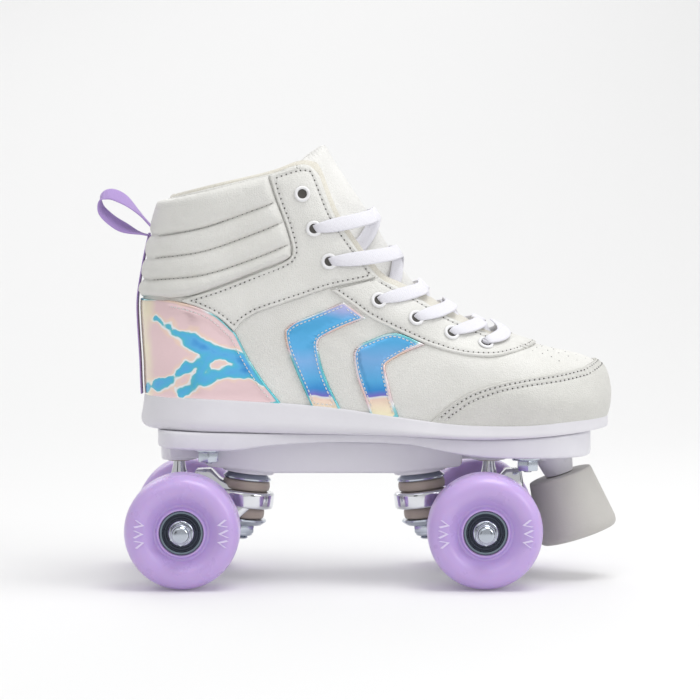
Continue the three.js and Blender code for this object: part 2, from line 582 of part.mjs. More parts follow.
// ---------------------------------------------------------------- midsole, plate and what bolts them together
const boltPlaces = [REAR_BOLTS, FRONT_BOLTS].flatMap(([x, y]) => [[x, -y], [x, y]]);
const boltHoles = unite(...boltPlaces.map(([x, y]) => solid(rod(SOLE_BOLT_RADIUS + GAP, 40, 100, 12).translate(x, y, 0))));

function midsole() {
  const planRing = (z, spread) => angles.map((angle) => {
    const point = formPoint(angle, 0.03);
    const normal = formNormal(angle, 0.03).setZ(0).normalize();
    const toe = smooth((point.x / STRETCH - 60) / 70);
    return point.addScaledVector(normal, mix(spread, Math.min(spread, 1.1), toe)).setZ(z);
  });
  const spreads = [[70, 2], [76.8, 2.4], [79, 3.8], [86, 3], [97, 1.5]];
  const body = solid(skinned(spreads.map(([z, spread]) => planRing(z, spread))));
  const xs = [-110, -75, -49, -24, 3, 31, 49, 68, 87, 105, 125, 150].map((x) => x * STRETCH);
  const lower = xs.map((x) => [x, bottomOfSole(x)]);
  const layer = sideways([...lower, ...xs.reverse().map((x) => [x, topOfSole(x)])], -far, far);
  add('midsole', cutFrom(body.intersect(solid(layer)), form(GAP), boltHoles), SOLE_RUBBER);
}

// The underside of the plate's flange, and the plate's outline from above as [x, half-width].
const flangeBottom = curve([[-92, 69.2], [-54, 68], [-31, 70.6], [3, 72.1], [40, 70.8], [55, 68], [68.5, 65.7], [82, 64.6],
  [135, 64.2]]);
const PLATE_ENDS = [-90.7, 132.6];
const plateHalfWidth = [[-90.7, 22], [-84, 31], [-70, 33], [-45, 33], [-10, 29], [30, 30], [60, 36], [95, 37], [115, 33],
  [127, 25], [132.6, 14]];

// A group in the frame of a tilted bolt: its origin is on the axis where the bolt leaves the plate, and its -Z
// points down along the bolt, leaning outwards, away from the middle of the skate.
function tilted(parent, x, z, tilt) {
  const group = new THREE.Group();
  group.position.set(x, 0, z);
  group.rotation.y = -tilt;
  parent.add(group);
  return group;
}

// The same shape as a tool for cutting in the skate's own frame. end is 1 at the front and -1 at the rear.
function placed(geometry, x, z, tilt, end) {
  const turn = new THREE.Matrix4().makeRotationZ(end > 0 ? 0 : Math.PI);
  const place = new THREE.Matrix4().makeTranslation(x, 0, z).multiply(new THREE.Matrix4().makeRotationY(-tilt));
  return solid(geometry.clone().applyMatrix4(turn.multiply(place)));
}

const KINGPIN_X = WHEELBASE / 2 - KINGPIN_INSET;
const PIVOT_X = WHEELBASE / 2 + PIVOT_OUTSET;
const CUP_OUTER = PIVOT_RADIUS + GAP + CUP_WALL;
const HEAD_FLATS = 13;
const HEAD_HEIGHT = 5;
const HEAD_DEPTH = 10; // of the kingpin head's underside above its seat
const BOSS_RADIUS = 13.6;
const STOP_X = WHEELBASE / 2 + TOE_STOP_AHEAD;
const STOP_BOSS = 9; // radius, at the plate
const STOP_NUT_UP = 10; // of the captive nut above the toe stop's top face

function plate() {
  const xs = [PLATE_ENDS[0], -70, -54, -31, 3, 40, 55, 68.5, 82, 105, PLATE_ENDS[1]];
  const upper = xs.map((x) => [x, bottomOfSole(x) - GAP]).reverse();
  const side = sideways([...xs.map((x) => [x, flangeBottom(x)[0]]), ...upper], -far, far);
  const outline = [...plateHalfWidth, ...plateHalfWidth.map(([x, y]) => [x, -y]).reverse()];
  const plan = new THREE.Shape(outline.map(([x, y]) => new THREE.Vector2(x, y)));
  const block = new THREE.ExtrudeGeometry(plan, { depth: 60, bevelEnabled: false }).translate(0, 0, 40);
  const flange = solid(side).intersect(solid(block));
  const beamSide = sideways([[-84, 70], [-82, 60.5], [-62, 58], [-34, PLATE_BOTTOM], [34, PLATE_BOTTOM], [62, 58],
    [96, 60.5], [112, 66]], -BEAM_HALF_WIDTH, BEAM_HALF_WIDTH);
  const beam = cutFrom(solid(beamSide), ...boltPlaces.map(([x, y]) =>
    solid(new THREE.BoxGeometry(60, 20, 40).translate(x < 0 ? x - 6 : x + 14, Math.sign(y) * (BEAM_END_HALF_WIDTH + 10), 60))));
  let body = unite(flange, beam, placed(turned([[0, GAP], [7, GAP], [STOP_BOSS, 8], [STOP_BOSS, 16], [0, 16]], 14),
    STOP_X, TOE_STOP_TOP, TOE_STOP_TILT, 1));
  for (const end of [1, -1]) {
    // Everything under the kingpin's seat is open, out to the cushions' washers.
    const clear = placed(rod(BOSS_RADIUS + 1, -30, 0), KINGPIN_X, KINGPIN_SEAT, KINGPIN_TILT, end);
    const boss = placed(rod(BOSS_RADIUS, 0, 16), KINGPIN_X, KINGPIN_SEAT, KINGPIN_TILT, end);
    const bore = placed(rod(KINGPIN_DIAMETER / 2 + GAP, -2, 40), KINGPIN_X, KINGPIN_SEAT, KINGPIN_TILT, end);
    const pocket = placed(hexRod(HEAD_FLATS + 2 * GAP, HEAD_DEPTH - GAP, 40), KINGPIN_X, KINGPIN_SEAT, KINGPIN_TILT, end);
    const housing = placed(rod(CUP_OUTER + 3, -2, 10), PIVOT_X, PIVOT_HEIGHT, 0, end);
    const socket = placed(rod(CUP_OUTER + GAP, -8, CUP_OUTER + GAP), PIVOT_X, PIVOT_HEIGHT, 0, end);
    const neckRoom = placed(new THREE.BoxGeometry(22, 24, 20).translate(0, 0, -11.5), PIVOT_X - 3, PIVOT_HEIGHT, 0, end);
    body = cutFrom(unite(body.subtract(neckRoom), boss, housing), clear, bore, pocket, socket);
  }
  const stopBore = placed(rod(STOP_BOLT_RADIUS + GAP, -2, 40), STOP_X, TOE_STOP_TOP, TOE_STOP_TILT, 1);
  const stopPocket = placed(hexRod(13 + 2 * GAP, STOP_NUT_UP - GAP, 40), STOP_X, TOE_STOP_TOP, TOE_STOP_TILT, 1);
  const hair = 0.001; // keeps the trimming tool off the flange's own top face
  const trimTop = solid(sideways([[-140, 120], [180, 120], ...upper.map(([x, z]) => [x, z + hair])], -far, far));
  add('plate', cutFrom(body, stopBore, stopPocket, boltHoles, trimTop), PLATE_PLASTIC);
}

function soleBolts() {
  const names = ['rear_outer', 'rear_inner', 'front_outer', 'front_inner'];
  boltPlaces.forEach(([x, y], i) => {
    const head = floorHeight(x) + SEAT_RAISE + 0.2;
    const nut = flangeBottom(x)[0] - GAP;
    const bolt = unite(solid(rod(SOLE_BOLT_RADIUS, nut - SOLE_NUT_HEIGHT - 0.8, head + 0.5, 8)),
      solid(rod(SOLE_BOLT_HEAD, head, head + SOLE_BOLT_HEAD_HEIGHT, 12)),
      solid(hexRod(SOLE_NUT_FLATS, nut - SOLE_NUT_HEIGHT, nut - 1)), solid(rod(6.2, nut - 1, nut, 12)));
    add(`sole_bolt_${names[i]}`, bolt.translate([x, y, 0]), STEEL);
  });
}

// ---------------------------------------------------------------- trucks
// The cushions, the hanger's ring and the washers are stacked down the kingpin, a gap apart.
function stack() {
  const heights = { washer: WASHER_THICKNESS, upper: UPPER_CUSHION, ring: RING_THICKNESS, lower: LOWER_CUSHION };
  const spans = {};
  let top = -GAP;
  for (const [name, size] of [['upper_washer', heights.washer], ['upper_cushion', heights.upper], ['ring', heights.ring],
    ['lower_cushion', heights.lower], ['lower_washer', heights.washer], ['nut', 5.5]]) {
    spans[name] = [top - size, top];
    top -= size + GAP;
  }
  return spans;
}

const spans = stack();
const BEARING_IN = BEARING_SPREAD / 2 - BEARING_WIDTH; // from the wheel's middle to a bearing's inner face
const SHOULDER = TRACK / 2 - BEARING_SPREAD / 2 - GAP; // the end of the hanger's axle tube
const WHEEL_FACETS = 20;

const kingpinGroup = (truck) => tilted(truck, -KINGPIN_INSET, KINGPIN_SEAT - AXLE_HEIGHT, KINGPIN_TILT);
const pin = (radius, from, to, segments = 14) => {
  const axis = to.clone().sub(from);
  const shape = new THREE.CylinderGeometry(radius, radius, axis.length(), segments);
  shape.applyQuaternion(new THREE.Quaternion().setFromUnitVectors(new THREE.Vector3(0, 1, 0), axis.clone().normalize()));
  return shape.translate(...from.clone().add(to).multiplyScalar(0.5));
};

function hanger() {
  const local = (geometry) => solid(geometry.clone().applyMatrix4(new THREE.Matrix4()
    .makeTranslation(-KINGPIN_INSET, 0, KINGPIN_SEAT - AXLE_HEIGHT)
    .multiply(new THREE.Matrix4().makeRotationY(-KINGPIN_TILT))));
  const [low, high] = spans.ring;
  const ring = local(rod(RING_RADIUS, low, high, 16));
  const hole = local(rod(KINGPIN_DIAMETER / 2 + GAP + 1, low - 1, high + 1, 10));
  const ballZ = PIVOT_HEIGHT - AXLE_HEIGHT;
  const web = solid(sideways([[-24, 8], [-12, 2], [-7, -7], [7, -7], [9.5, 2], [9, 20], [PIVOT_OUTSET + 4, ballZ - 7],
    [PIVOT_OUTSET - 4, ballZ - 7], [-5, 22], [-16, 16.4], [-24, 15]], -7.5, 7.5));
  const halfTube = [[9.4, 22], [5.8, 27], [5.8, SHOULDER], [0, SHOULDER]];
  const tubeProfile = [...halfTube.map(([r, h]) => [r, -h]).reverse(), ...halfTube];
  const axleTube = solid(turned(tubeProfile, 14).rotateX(Math.PI / 2));
  const wings = solid(sideways([[-22, 9], [-8, -4], [0, -8], [0, 8], [-20, 14]], -14, 14));
  const neck = solid(pin(3.2, new THREE.Vector3(PIVOT_OUTSET, 0, ballZ - 9), new THREE.Vector3(PIVOT_OUTSET, 0, ballZ), 12));
  const ball = solid(new THREE.SphereGeometry(PIVOT_RADIUS, 10, 6).translate(PIVOT_OUTSET, 0, ballZ));
  const bore = solid(rod(AXLE_DIAMETER / 2 + GAP, -SHOULDER - 1, SHOULDER + 1, 12).rotateX(Math.PI / 2));
  // The web stays inside the ring's thickness beside the cushions.
  const above = local(tube(RING_RADIUS + 4, 0.5, high, high + 9, 10));
  const below = local(tube(RING_RADIUS + 1, 0.5, low - 9, low, 10));
  return cutFrom(unite(cutFrom(unite(web, wings), above, below), ring, axleTube, neck, ball), hole, bore);
}

function wheel() {
  const R = WHEEL_DIAMETER / 2 / Math.cos(Math.PI / WHEEL_FACETS);
  const half = WHEEL_WIDTH / 2;
  const seat = BEARING_DIAMETER / 2 + GAP;
  const side = [[seat, BEARING_SPREAD / 2 + 0.7], [13, BEARING_SPREAD / 2 + 0.7], [17.2, half - 0.5], [22.5, half],
    [27, half - 2.6], [R, half - 7.6]];
  const profile = [[8, -BEARING_IN], [seat, -BEARING_IN], ...side.map(([r, h]) => [r, -h]), ...[...side].reverse(),
    [seat, BEARING_IN], [8, BEARING_IN], [8, -BEARING_IN]];
  return turned(profile, WHEEL_FACETS).rotateX(Math.PI / 2).rotateY(Math.PI / WHEEL_FACETS);
}

const nutAround = (flats, radius, low, high) =>
  solid(hexRod(flats, low, high)).subtract(solid(rod(radius + GAP, low - 1, high + 1, 16)));

function truck(end) {
  const name = end > 0 ? 'front' : 'rear';
  const group = new THREE.Group();
  group.position.set((end * WHEELBASE) / 2, 0, AXLE_HEIGHT);
  group.rotation.z = end > 0 ? 0 : Math.PI;
  skate.add(group);
  add(`${name}_truck_hanger`, hanger(), CAST_METAL, group);

  const stackGroup = kingpinGroup(group);
  const hole = KINGPIN_DIAMETER / 2 + GAP;
  const [washerLow, washerHigh] = spans.upper_washer;
  const cupped = (low, high, flip) => {
    const rim = CUSHION_RADIUS + 0.2;
    const points = [[hole, low], [rim - 2.7, low], [rim, low + 1.4], [rim, high], [hole, high], [hole, low]];
    return turned(flip ? points.map(([r, h]) => [r, low + high - h]).reverse() : points, 16);
  };
  add(`${name}_upper_washer`, cupped(washerLow, washerHigh, true), STEEL, stackGroup);
  add(`${name}_lower_washer`, cupped(...spans.lower_washer, false), STEEL, stackGroup);
  const cushion = ([low, high], radius) => tube(radius, hole, low, high, 18);
  add(`${name}_upper_cushion`, cushion(spans.upper_cushion, CUSHION_RADIUS), CUSHION_URETHANE, stackGroup);
  add(`${name}_lower_cushion`, cushion(spans.lower_cushion, CUSHION_RADIUS - 1.2), CUSHION_URETHANE, stackGroup);
  const bottom = spans.nut[0] - 2;
  const kingpin = unite(solid(rod(KINGPIN_DIAMETER / 2, bottom, HEAD_DEPTH + 1, 16)),
    solid(hexRod(HEAD_FLATS, HEAD_DEPTH, HEAD_DEPTH + HEAD_HEIGHT)));
  add(`${name}_kingpin`, kingpin, STEEL, stackGroup);
  add(`${name}_kingpin_nut`, nutAround(13, KINGPIN_DIAMETER / 2, ...spans.nut), STEEL, stackGroup);

  const inner = PIVOT_RADIUS + GAP;
  const cup = turned([[inner, -2.6], [CUP_OUTER, -2.6], [CUP_OUTER, CUP_OUTER - 0.4], [0, CUP_OUTER - 0.4], [0, inner],
    [inner * 0.5, inner * 0.87], [inner * 0.87, inner * 0.5], [inner, 0], [inner, -2.6]], 12);
  const cupMesh = add(`${name}_pivot_cup`, cup, CUSHION_URETHANE, group);
  cupMesh.position.set(PIVOT_OUTSET, 0, PIVOT_HEIGHT - AXLE_HEIGHT);

  add(`${name}_axle`, rod(AXLE_DIAMETER / 2, -AXLE_LENGTH / 2, AXLE_LENGTH / 2, 16).rotateX(Math.PI / 2), STEEL, group);
  for (const [half, side] of SIDES) {
    const hub = new THREE.Group();
    hub.position.y = (side * end * TRACK) / 2;
    group.add(hub);
    add(`${name}_wheel_${half}`, wheel(), LILAC_URETHANE, hub);
    const race = (low) => tube(BEARING_DIAMETER / 2, AXLE_DIAMETER / 2 + GAP, low, low + BEARING_WIDTH, 12).rotateX(Math.PI / 2);
    const away = side * end; // towards the wheel's outer face
    add(`${name}_bearing_${half}_outside`, race(away < 0 ? BEARING_IN : -BEARING_IN - BEARING_WIDTH), SHIELD, hub);
    add(`${name}_bearing_${half}_inside`, race(away < 0 ? -BEARING_IN - BEARING_WIDTH : BEARING_IN), SHIELD, hub);
    const nutLow = BEARING_SPREAD / 2 + GAP;
    const nut = nutAround(AXLE_NUT_FLATS, AXLE_DIAMETER / 2, nutLow, nutLow + AXLE_NUT_HEIGHT);
    const nutMesh = add(`${name}_axle_nut_${half}`, nut, STEEL, hub);
    nutMesh.rotation.x = away < 0 ? Math.PI / 2 : -Math.PI / 2;
  }
}

// ---------------------------------------------------------------- toe stop
function toeStop() {
  const group = tilted(skate, STOP_X, TOE_STOP_TOP, TOE_STOP_TILT);
  const [top, foot] = [TOE_STOP_TOP_RADIUS, TOE_STOP_FOOT_RADIUS];
  const low = -TOE_STOP_HEIGHT;
  const bore = STOP_BOLT_RADIUS + GAP;
  const depth = 16; // of the stem's head inside the rubber
  const profile = [[0, low], [foot * 0.6, low + 0.5], [foot - 3.4, low + 1.6], [foot - 0.8, low + 3.6], [foot, low + 7],
    [top + 0.5, -1.6], [top - 1, 0], [bore, 0], [bore, -depth], [9 + GAP, -depth], [9 + GAP, -depth - 3 - 2 * GAP],
    [0, -depth - 3 - 2 * GAP]];
  add('toe_stop', turned(profile, 20), STOP_RUBBER, group);
  const stem = unite(solid(rod(STOP_BOLT_RADIUS, -depth - 1, STOP_NUT_UP + 10.6, 16)),
    solid(rod(9, -depth - GAP - 3, -depth - GAP, 20)));
  add('toe_stop_stem', stem, STEEL, group);
  add('toe_stop_nut', nutAround(13, STOP_BOLT_RADIUS, STOP_NUT_UP, STOP_NUT_UP + 5), STEEL, group);
}

// ---------------------------------------------------------------- the whole skate
boot();
midsole();
plate();
soleBolts();
truck(1);
truck(-1);
toeStop();

skate.updateMatrixWorld(true);
const box = new THREE.Box3().setFromObject(skate);
const lift = WHEEL_DIAMETER / 2 - AXLE_HEIGHT; // so that the wheels stand on the ground
skate.position.set(-(box.min.x + box.max.x) / 2, -(box.min.y + box.max.y) / 2, lift);

export default skate;
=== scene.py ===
# %% [markdown]
# # A quad roller skate, dressed in Blender
# The skate is already designed: its plate, trucks, wheels and boot arrive as a fixed frame of plain solids.
# This lesson gives each of them its real surface. The hard pieces are turned and extruded as a machinist would
# make them. The boot is cut from flat patterns and wrapped round one smooth last, as a shoemaker would.

# %% The frame
import math
import bmesh
import bpy
import numpy as np
from mathutils import Matrix, Vector
from mathutils.geometry import delaunay_2d_cdt
from mathutils.kdtree import KDTree


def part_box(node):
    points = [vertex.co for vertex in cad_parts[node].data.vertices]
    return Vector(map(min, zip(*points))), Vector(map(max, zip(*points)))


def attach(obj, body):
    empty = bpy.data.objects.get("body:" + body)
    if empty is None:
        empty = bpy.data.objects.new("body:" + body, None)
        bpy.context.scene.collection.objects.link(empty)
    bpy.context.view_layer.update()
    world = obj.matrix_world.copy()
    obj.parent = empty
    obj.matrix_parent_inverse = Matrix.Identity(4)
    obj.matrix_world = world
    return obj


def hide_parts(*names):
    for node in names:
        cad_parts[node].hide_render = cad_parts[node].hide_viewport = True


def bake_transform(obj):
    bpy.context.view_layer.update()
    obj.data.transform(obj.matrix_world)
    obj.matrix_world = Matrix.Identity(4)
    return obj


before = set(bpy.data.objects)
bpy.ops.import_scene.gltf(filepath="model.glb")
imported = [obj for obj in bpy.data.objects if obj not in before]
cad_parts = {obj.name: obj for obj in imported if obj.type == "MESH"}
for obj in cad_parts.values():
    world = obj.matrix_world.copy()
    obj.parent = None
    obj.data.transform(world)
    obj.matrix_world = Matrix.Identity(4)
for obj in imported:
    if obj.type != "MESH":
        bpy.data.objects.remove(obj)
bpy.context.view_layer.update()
MM = 0.001

# %% [markdown]
# The outlines of the skate are drawn from a datum half-way between the axles, on the ground. The frame's origin
# is under the middle of the bounding box instead, so one shift joins the two. A wheel's box tells how far.

# %% Places that the frame gives
WHEELBASE = 152
wheel_low, wheel_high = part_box("front_wheel_outer")
SHIFT = (wheel_low[0] + wheel_high[0]) / 2 / MM - WHEELBASE / 2
AXLE_Z = (wheel_low[2] + wheel_high[2]) / 2 / MM
TRACK_Y = abs(wheel_low[1] + wheel_high[1]) / 2 / MM
print("datum shift", round(SHIFT, 3), "axle height", round(AXLE_Z, 2), "half track", round(TRACK_Y, 2))


def deselect():
    bpy.ops.object.select_all(action="DESELECT")


deselect()

# %% [markdown]
# ## Camera, light and floor
# A long lens from a metre and a half away keeps the skate's side almost flat, and looks slightly down on it.
# Big soft lights and a pale sweep give the even light of a catalogue.

# %% Camera
CAMERA_ASIDE, CAMERA_AWAY, CAMERA_HEIGHT = 8.25, 1.55514, 0.20897
CAMERA_TILT, CAMERA_LENS = 3.373, 155.3
bpy.ops.object.camera_add(location=((CAMERA_ASIDE + SHIFT) * MM, -CAMERA_AWAY, CAMERA_HEIGHT),
                          rotation=(math.radians(90 - CAMERA_TILT), 0, 0))
camera = bpy.context.object
camera.name = "camera"
camera.data.lens = CAMERA_LENS
camera.data.sensor_width = 36
camera.data.clip_start = 0.05
bpy.context.scene.camera = camera

# %% Lights
def area_light(name, place, target, size, watts):
    bpy.ops.object.light_add(type="AREA", location=place)
    light = bpy.context.object
    light.name = name
    light.data.shape = "RECTANGLE"
    light.data.size, light.data.size_y = size
    light.data.energy = watts
    light.rotation_euler = (Vector(target) - Vector(place)).to_track_quat("-Z", "Y").to_euler()


area_light("key_light", (-0.7, -1.3, 1.5), (0, 0, 0.1), (1.2, 0.9), 3.2)
area_light("top_light", (0.35, -0.1, 1.5), (0.05, 0, 0.1), (1.0, 0.8), 12)
area_light("fill_light", (1.4, -0.9, 0.9), (0, 0, 0.12), (0.8, 0.8), 6.5)
area_light("rim_light", (-0.4, 1.5, 1.0), (0, 0, 0.12), (1.5, 0.8), 5)

WORLD_STRENGTH = 0.6
world = bpy.context.scene.world or bpy.data.worlds.new("studio")
bpy.context.scene.world = world
world.use_nodes = True
backdrop = world.node_tree.nodes["Background"].inputs
backdrop["Color"].default_value = (1, 1, 1, 1)
backdrop["Strength"].default_value = WORLD_STRENGTH
bpy.context.scene.view_settings.view_transform = "Standard"

# %% Floor and sweep
SWEEP_FRONT, SWEEP_DEPTH, SWEEP_RADIUS, SWEEP_TOP, SWEEP_SIDE = -6.0, 2.0, 1.2, 7.0, 7.0
FLOOR_GAP = 0.0002  # the wheels clear the paper by this much, so the two never flicker
PAPER_WHITE, PAPER_GLOW = (0.74, 0.74, 0.74, 1), 0.1
profile = [(SWEEP_FRONT, 0.0)]
profile += [(SWEEP_DEPTH - SWEEP_RADIUS + SWEEP_RADIUS * math.sin(t), SWEEP_RADIUS - SWEEP_RADIUS * math.cos(t))
            for t in np.radians(np.linspace(0, 90, 25))]
profile += [(SWEEP_DEPTH, SWEEP_TOP)]
sweep_mesh = bpy.data.meshes.new("pale_sweep")
sweep_mesh.from_pydata([(x, y, z - FLOOR_GAP) for y, z in profile for x in (-SWEEP_SIDE, SWEEP_SIDE)], [],
                       [(2 * i, 2 * i + 1, 2 * i + 3, 2 * i + 2) for i in range(len(profile) - 1)])
sweep_mesh.shade_smooth()
sweep = bpy.data.objects.new("pale_sweep", sweep_mesh)
bpy.context.collection.objects.link(sweep)
sweep_look = bpy.data.materials.new("pale_paper")
sweep_look.use_nodes = True
paper = sweep_look.node_tree.nodes["Principled BSDF"].inputs
paper["Base Color"].default_value = PAPER_WHITE
paper["Roughness"].default_value = 0.8
paper["Emission Color"].default_value = (1, 1, 1, 1)
paper["Emission Strength"].default_value = PAPER_GLOW
sweep_mesh.materials.append(sweep_look)

# %% [markdown]
# Polished metal only looks like metal when it has something dark to mirror. Two dark cards stand beside the
# camera. They show in reflections only, and neither shade the skate nor come into view.

# %% Dark cards
CARD_PLACES = {"dark_card_left": -0.75, "dark_card_right": 0.8}
CARD_AWAY, CARD_HEIGHT, CARD_SCALE, CARD_BLACK = 1.25, 0.15, (0.45, 1.0, 1), (0.02, 0.02, 0.025, 1)
for card_name, card_x in CARD_PLACES.items():
    bpy.ops.mesh.primitive_plane_add(size=1, location=(card_x, -CARD_AWAY, CARD_HEIGHT),
                                     rotation=(math.radians(90), 0, 0))
    card = bpy.context.object
    card.name = card_name
    card.scale = CARD_SCALE
    card_look = bpy.data.materials.new(card_name)
    card_look.use_nodes = True
    card_look.node_tree.nodes["Principled BSDF"].inputs["Base Color"].default_value = CARD_BLACK
    card.data.materials.append(card_look)
    card.visible_camera = card.visible_diffuse = card.visible_shadow = False

# %% [markdown]
# ## Finishes
# Every finish is a small node tree. What several of them share, such as fine grain or worn edges, is a node
# group with named inputs, built once. A helper keeps each tree short.

# %% Node helpers
def look(name, colour, roughness, metallic=0.0, **sockets):
    """A material with a Principled shader, whose own sockets hold what is the same all over."""
    material = bpy.data.materials.new(name)
    material.use_nodes = True
    shader = material.node_tree.nodes["Principled BSDF"]
    shader.inputs["Base Color"].default_value = (*colour, 1)
    shader.inputs["Roughness"].default_value = roughness
    shader.inputs["Metallic"].default_value = metallic
    for socket, value in sockets.items():
        shader.inputs[socket.replace("_", " ")].default_value = value
    return material


def node(tree, kind, values=None, **settings):
    made = tree.nodes.new(kind)
    for key, value in settings.items():
        setattr(made, key, value)
    for key, value in (values or {}).items():
        if hasattr(value, "is_output"):
            tree.links.new(value, made.inputs[key])
        else:
            made.inputs[key].default_value = value
    return made


def new_group(name, inputs, outputs):
    """A node group with float sockets, and its input and output nodes."""
    group = bpy.data.node_groups.new(name, "ShaderNodeTree")
    for label, value in inputs.items():
        group.interface.new_socket(label, in_out="INPUT", socket_type="NodeSocketFloat").default_value = value
    for label in outputs:
        group.interface.new_socket(label, in_out="OUTPUT", socket_type="NodeSocketFloat")
    return group, group.nodes.new("NodeGroupInput"), group.nodes.new("NodeGroupOutput")


def give(group, sink, **results):
    for label, value in results.items():
        group.links.new(value, sink.inputs[label])
    return group


def object_place(tree):
    return node(tree, "ShaderNodeTexCoord").outputs["Object"]


def noise(tree, place, scale, detail, roughness=0.5):
    values = {"Vector": place, "Scale": scale, "Detail": detail, "Roughness": roughness}
    return node(tree, "ShaderNodeTexNoise", values).outputs


def maths(tree, operation, a, b=None):
    values = {0: a} if b is None else {0: a, 1: b}
    return node(tree, "ShaderNodeMath", values, operation=operation).outputs["Value"]


def ranged(tree, value, low, high, to_low=0.0, to_high=1.0, curve="LINEAR"):
    """A value carried from one range to another."""
    values = {"Value": value, "From Min": low, "From Max": high, "To Min": to_low, "To Max": to_high}
    return node(tree, "ShaderNodeMapRange", values, interpolation_type=curve).outputs["Result"]


def nudged(tree, place, push, amount):
    """A place moved by a share of a colour, which bends whatever is drawn there."""
    scaled = node(tree, "ShaderNodeVectorMath", {0: push, "Scale": amount}, operation="SCALE").outputs["Vector"]
    return node(tree, "ShaderNodeVectorMath", {0: place, 1: scaled}, operation="ADD").outputs["Vector"]


def mixed(tree, factor, a, b):
    """Colour a where the factor is 0, and b where it is 1. Each is a socket or three numbers."""
    a, b = ((*c, 1) if isinstance(c, tuple) else c for c in (a, b))
    return node(tree, "ShaderNodeMix", {"Factor": factor, 6: a, 7: b}, data_type="RGBA").outputs[2]


def wired(material, colour, rough, height, strength, depth):
    """Links colour, roughness and relief to the material's shader."""
    tree = material.node_tree
    sockets = tree.nodes["Principled BSDF"].inputs
    tree.links.new(colour, sockets["Base Color"])
    if rough is not None:
        tree.links.new(rough, sockets["Roughness"])
    bump = node(tree, "ShaderNodeBump", {"Height": height, "Strength": strength, "Distance": depth})
    tree.links.new(bump.outputs["Normal"], sockets["Normal"])
    return material

# %% [markdown]
# Coated leather has a pebble grain: rounded cells with creases between them, softly uneven in size. A Voronoi
# texture's distance to the edge gives the creases, and noise bends the cells so that they don't look drawn.

# %% Leather
def pebble_group():
    group, source, sink = new_group("pebble_grain", {"Scale": 900.0, "Bend": 0.3}, ("Height", "Shade"))
    place = object_place(group)
    bent = nudged(group, place, noise(group, place, 260.0, 3.0)["Color"], 0.0012)
    cells = node(group, "ShaderNodeTexVoronoi", {"Vector": bent, "Scale": source.outputs["Scale"],
                                                 "Randomness": 0.85}, feature="DISTANCE_TO_EDGE")
    rounded = ranged(group, cells.outputs["Distance"], 0.0, 0.22, curve="SMOOTHSTEP")
    wide = noise(group, place, 38.0, 4.0, 0.6)["Fac"]
    uneven = maths(group, "MULTIPLY", wide, source.outputs["Bend"])
    return give(group, sink, Height=maths(group, "ADD", rounded, uneven), Shade=wide)


PEBBLE = pebble_group()


def leather(name, light, dark, roughness=0.46, grain=900.0, depth=0.00026):
    material = look(name, light, roughness, Specular_IOR_Level=0.42)
    tree = material.node_tree
    grained = node(tree, "ShaderNodeGroup", {"Scale": grain}, node_tree=PEBBLE).outputs
    tone = mixed(tree, ranged(tree, grained["Shade"], 0.35, 0.7), dark, light)
    rough = ranged(tree, grained["Height"], 0.0, 1.0, roughness + 0.14, roughness - 0.04)
    return wired(material, tone, rough, grained["Height"], 0.55, depth)


WHITE_LEATHER = leather("white_leather", (0.80, 0.795, 0.765), (0.74, 0.735, 0.70))
GREY_LEATHER = leather("grey_leather", (0.70, 0.695, 0.66), (0.65, 0.645, 0.61), grain=1000.0)
TONGUE_LEATHER = leather("tongue_leather", (0.84, 0.835, 0.81), (0.78, 0.775, 0.75))
print("leathers:", WHITE_LEATHER.name, GREY_LEATHER.name, TONGUE_LEATHER.name)

# %% [markdown]
# The heel patch and the chevrons are a film that splits light into sky blue, teal, pink, peach and violet. On
# the heel patch slanting blue streaks with pale ragged borders lie on pink. A chevron's colours follow each
# other up the piece. The film's rim is folded down, so it mirrors other colours than the middle.

# %% Iridescent foil
SKY, DEEP, TEAL, AZURE = (0.10, 0.46, 0.84), (0.04, 0.30, 0.72), (0.12, 0.55, 0.62), (0.08, 0.50, 0.78)
PINK, PEACH, VIOLET = (0.86, 0.64, 0.66), (0.93, 0.70, 0.58), (0.20, 0.17, 0.62)
CREAM, PALE, MINT = (0.93, 0.86, 0.60), (0.86, 0.90, 0.92), (0.32, 0.66, 0.70)
HEEL_STOPS = [(0.0, DEEP), (0.2, SKY), (0.38, AZURE), (0.44, TEAL), (0.485, PALE), (0.51, PALE), (0.54, PEACH),
              (0.66, PINK), (1.0, PINK)]
CHEVRON_STOPS = [(0.0, CREAM), (0.13, PEACH), (0.15, PALE), (0.16, VIOLET), (0.22, DEEP), (0.32, SKY),
                 (0.5, (0.22, 0.48, 0.86)), (0.62, SKY), (0.76, (0.08, 0.44, 0.80)), (0.86, SKY),
                 (0.92, (0.40, 0.50, 0.86)), (1.0, (0.62, 0.56, 0.88))]
RIM_STOPS = [(0.36, TEAL), (0.46, MINT), (0.5, PALE), (0.56, PINK), (0.64, PEACH)]
CHEVRON_FOOT, CHEVRON_TIP = 0.092, 0.150  # the heights between which the chevrons' colours run
CREAM_FROM, CREAM_TO = -81, -88  # the heel patch turns cream towards the back, between these places
STREAK_REACH, STREAK_SHAKE = 6.0, 2.6  # in millimetres: the ramp's half-width, and how ragged its borders are


def ramp_of(tree, factor, stops):
    ramp = node(tree, "ShaderNodeValToRGB", {"Fac": factor})
    while len(ramp.color_ramp.elements) < len(stops):
        ramp.color_ramp.elements.new(0.5)
    for element, (position, colour) in zip(ramp.color_ramp.elements, stops):
        element.position = position
        element.color = (*colour, 1)
    return ramp.outputs["Color"]


def measured(tree, name):
    """A number that the mesh carries at each of its points."""
    return node(tree, "ShaderNodeAttribute", attribute_name=name).outputs["Fac"]


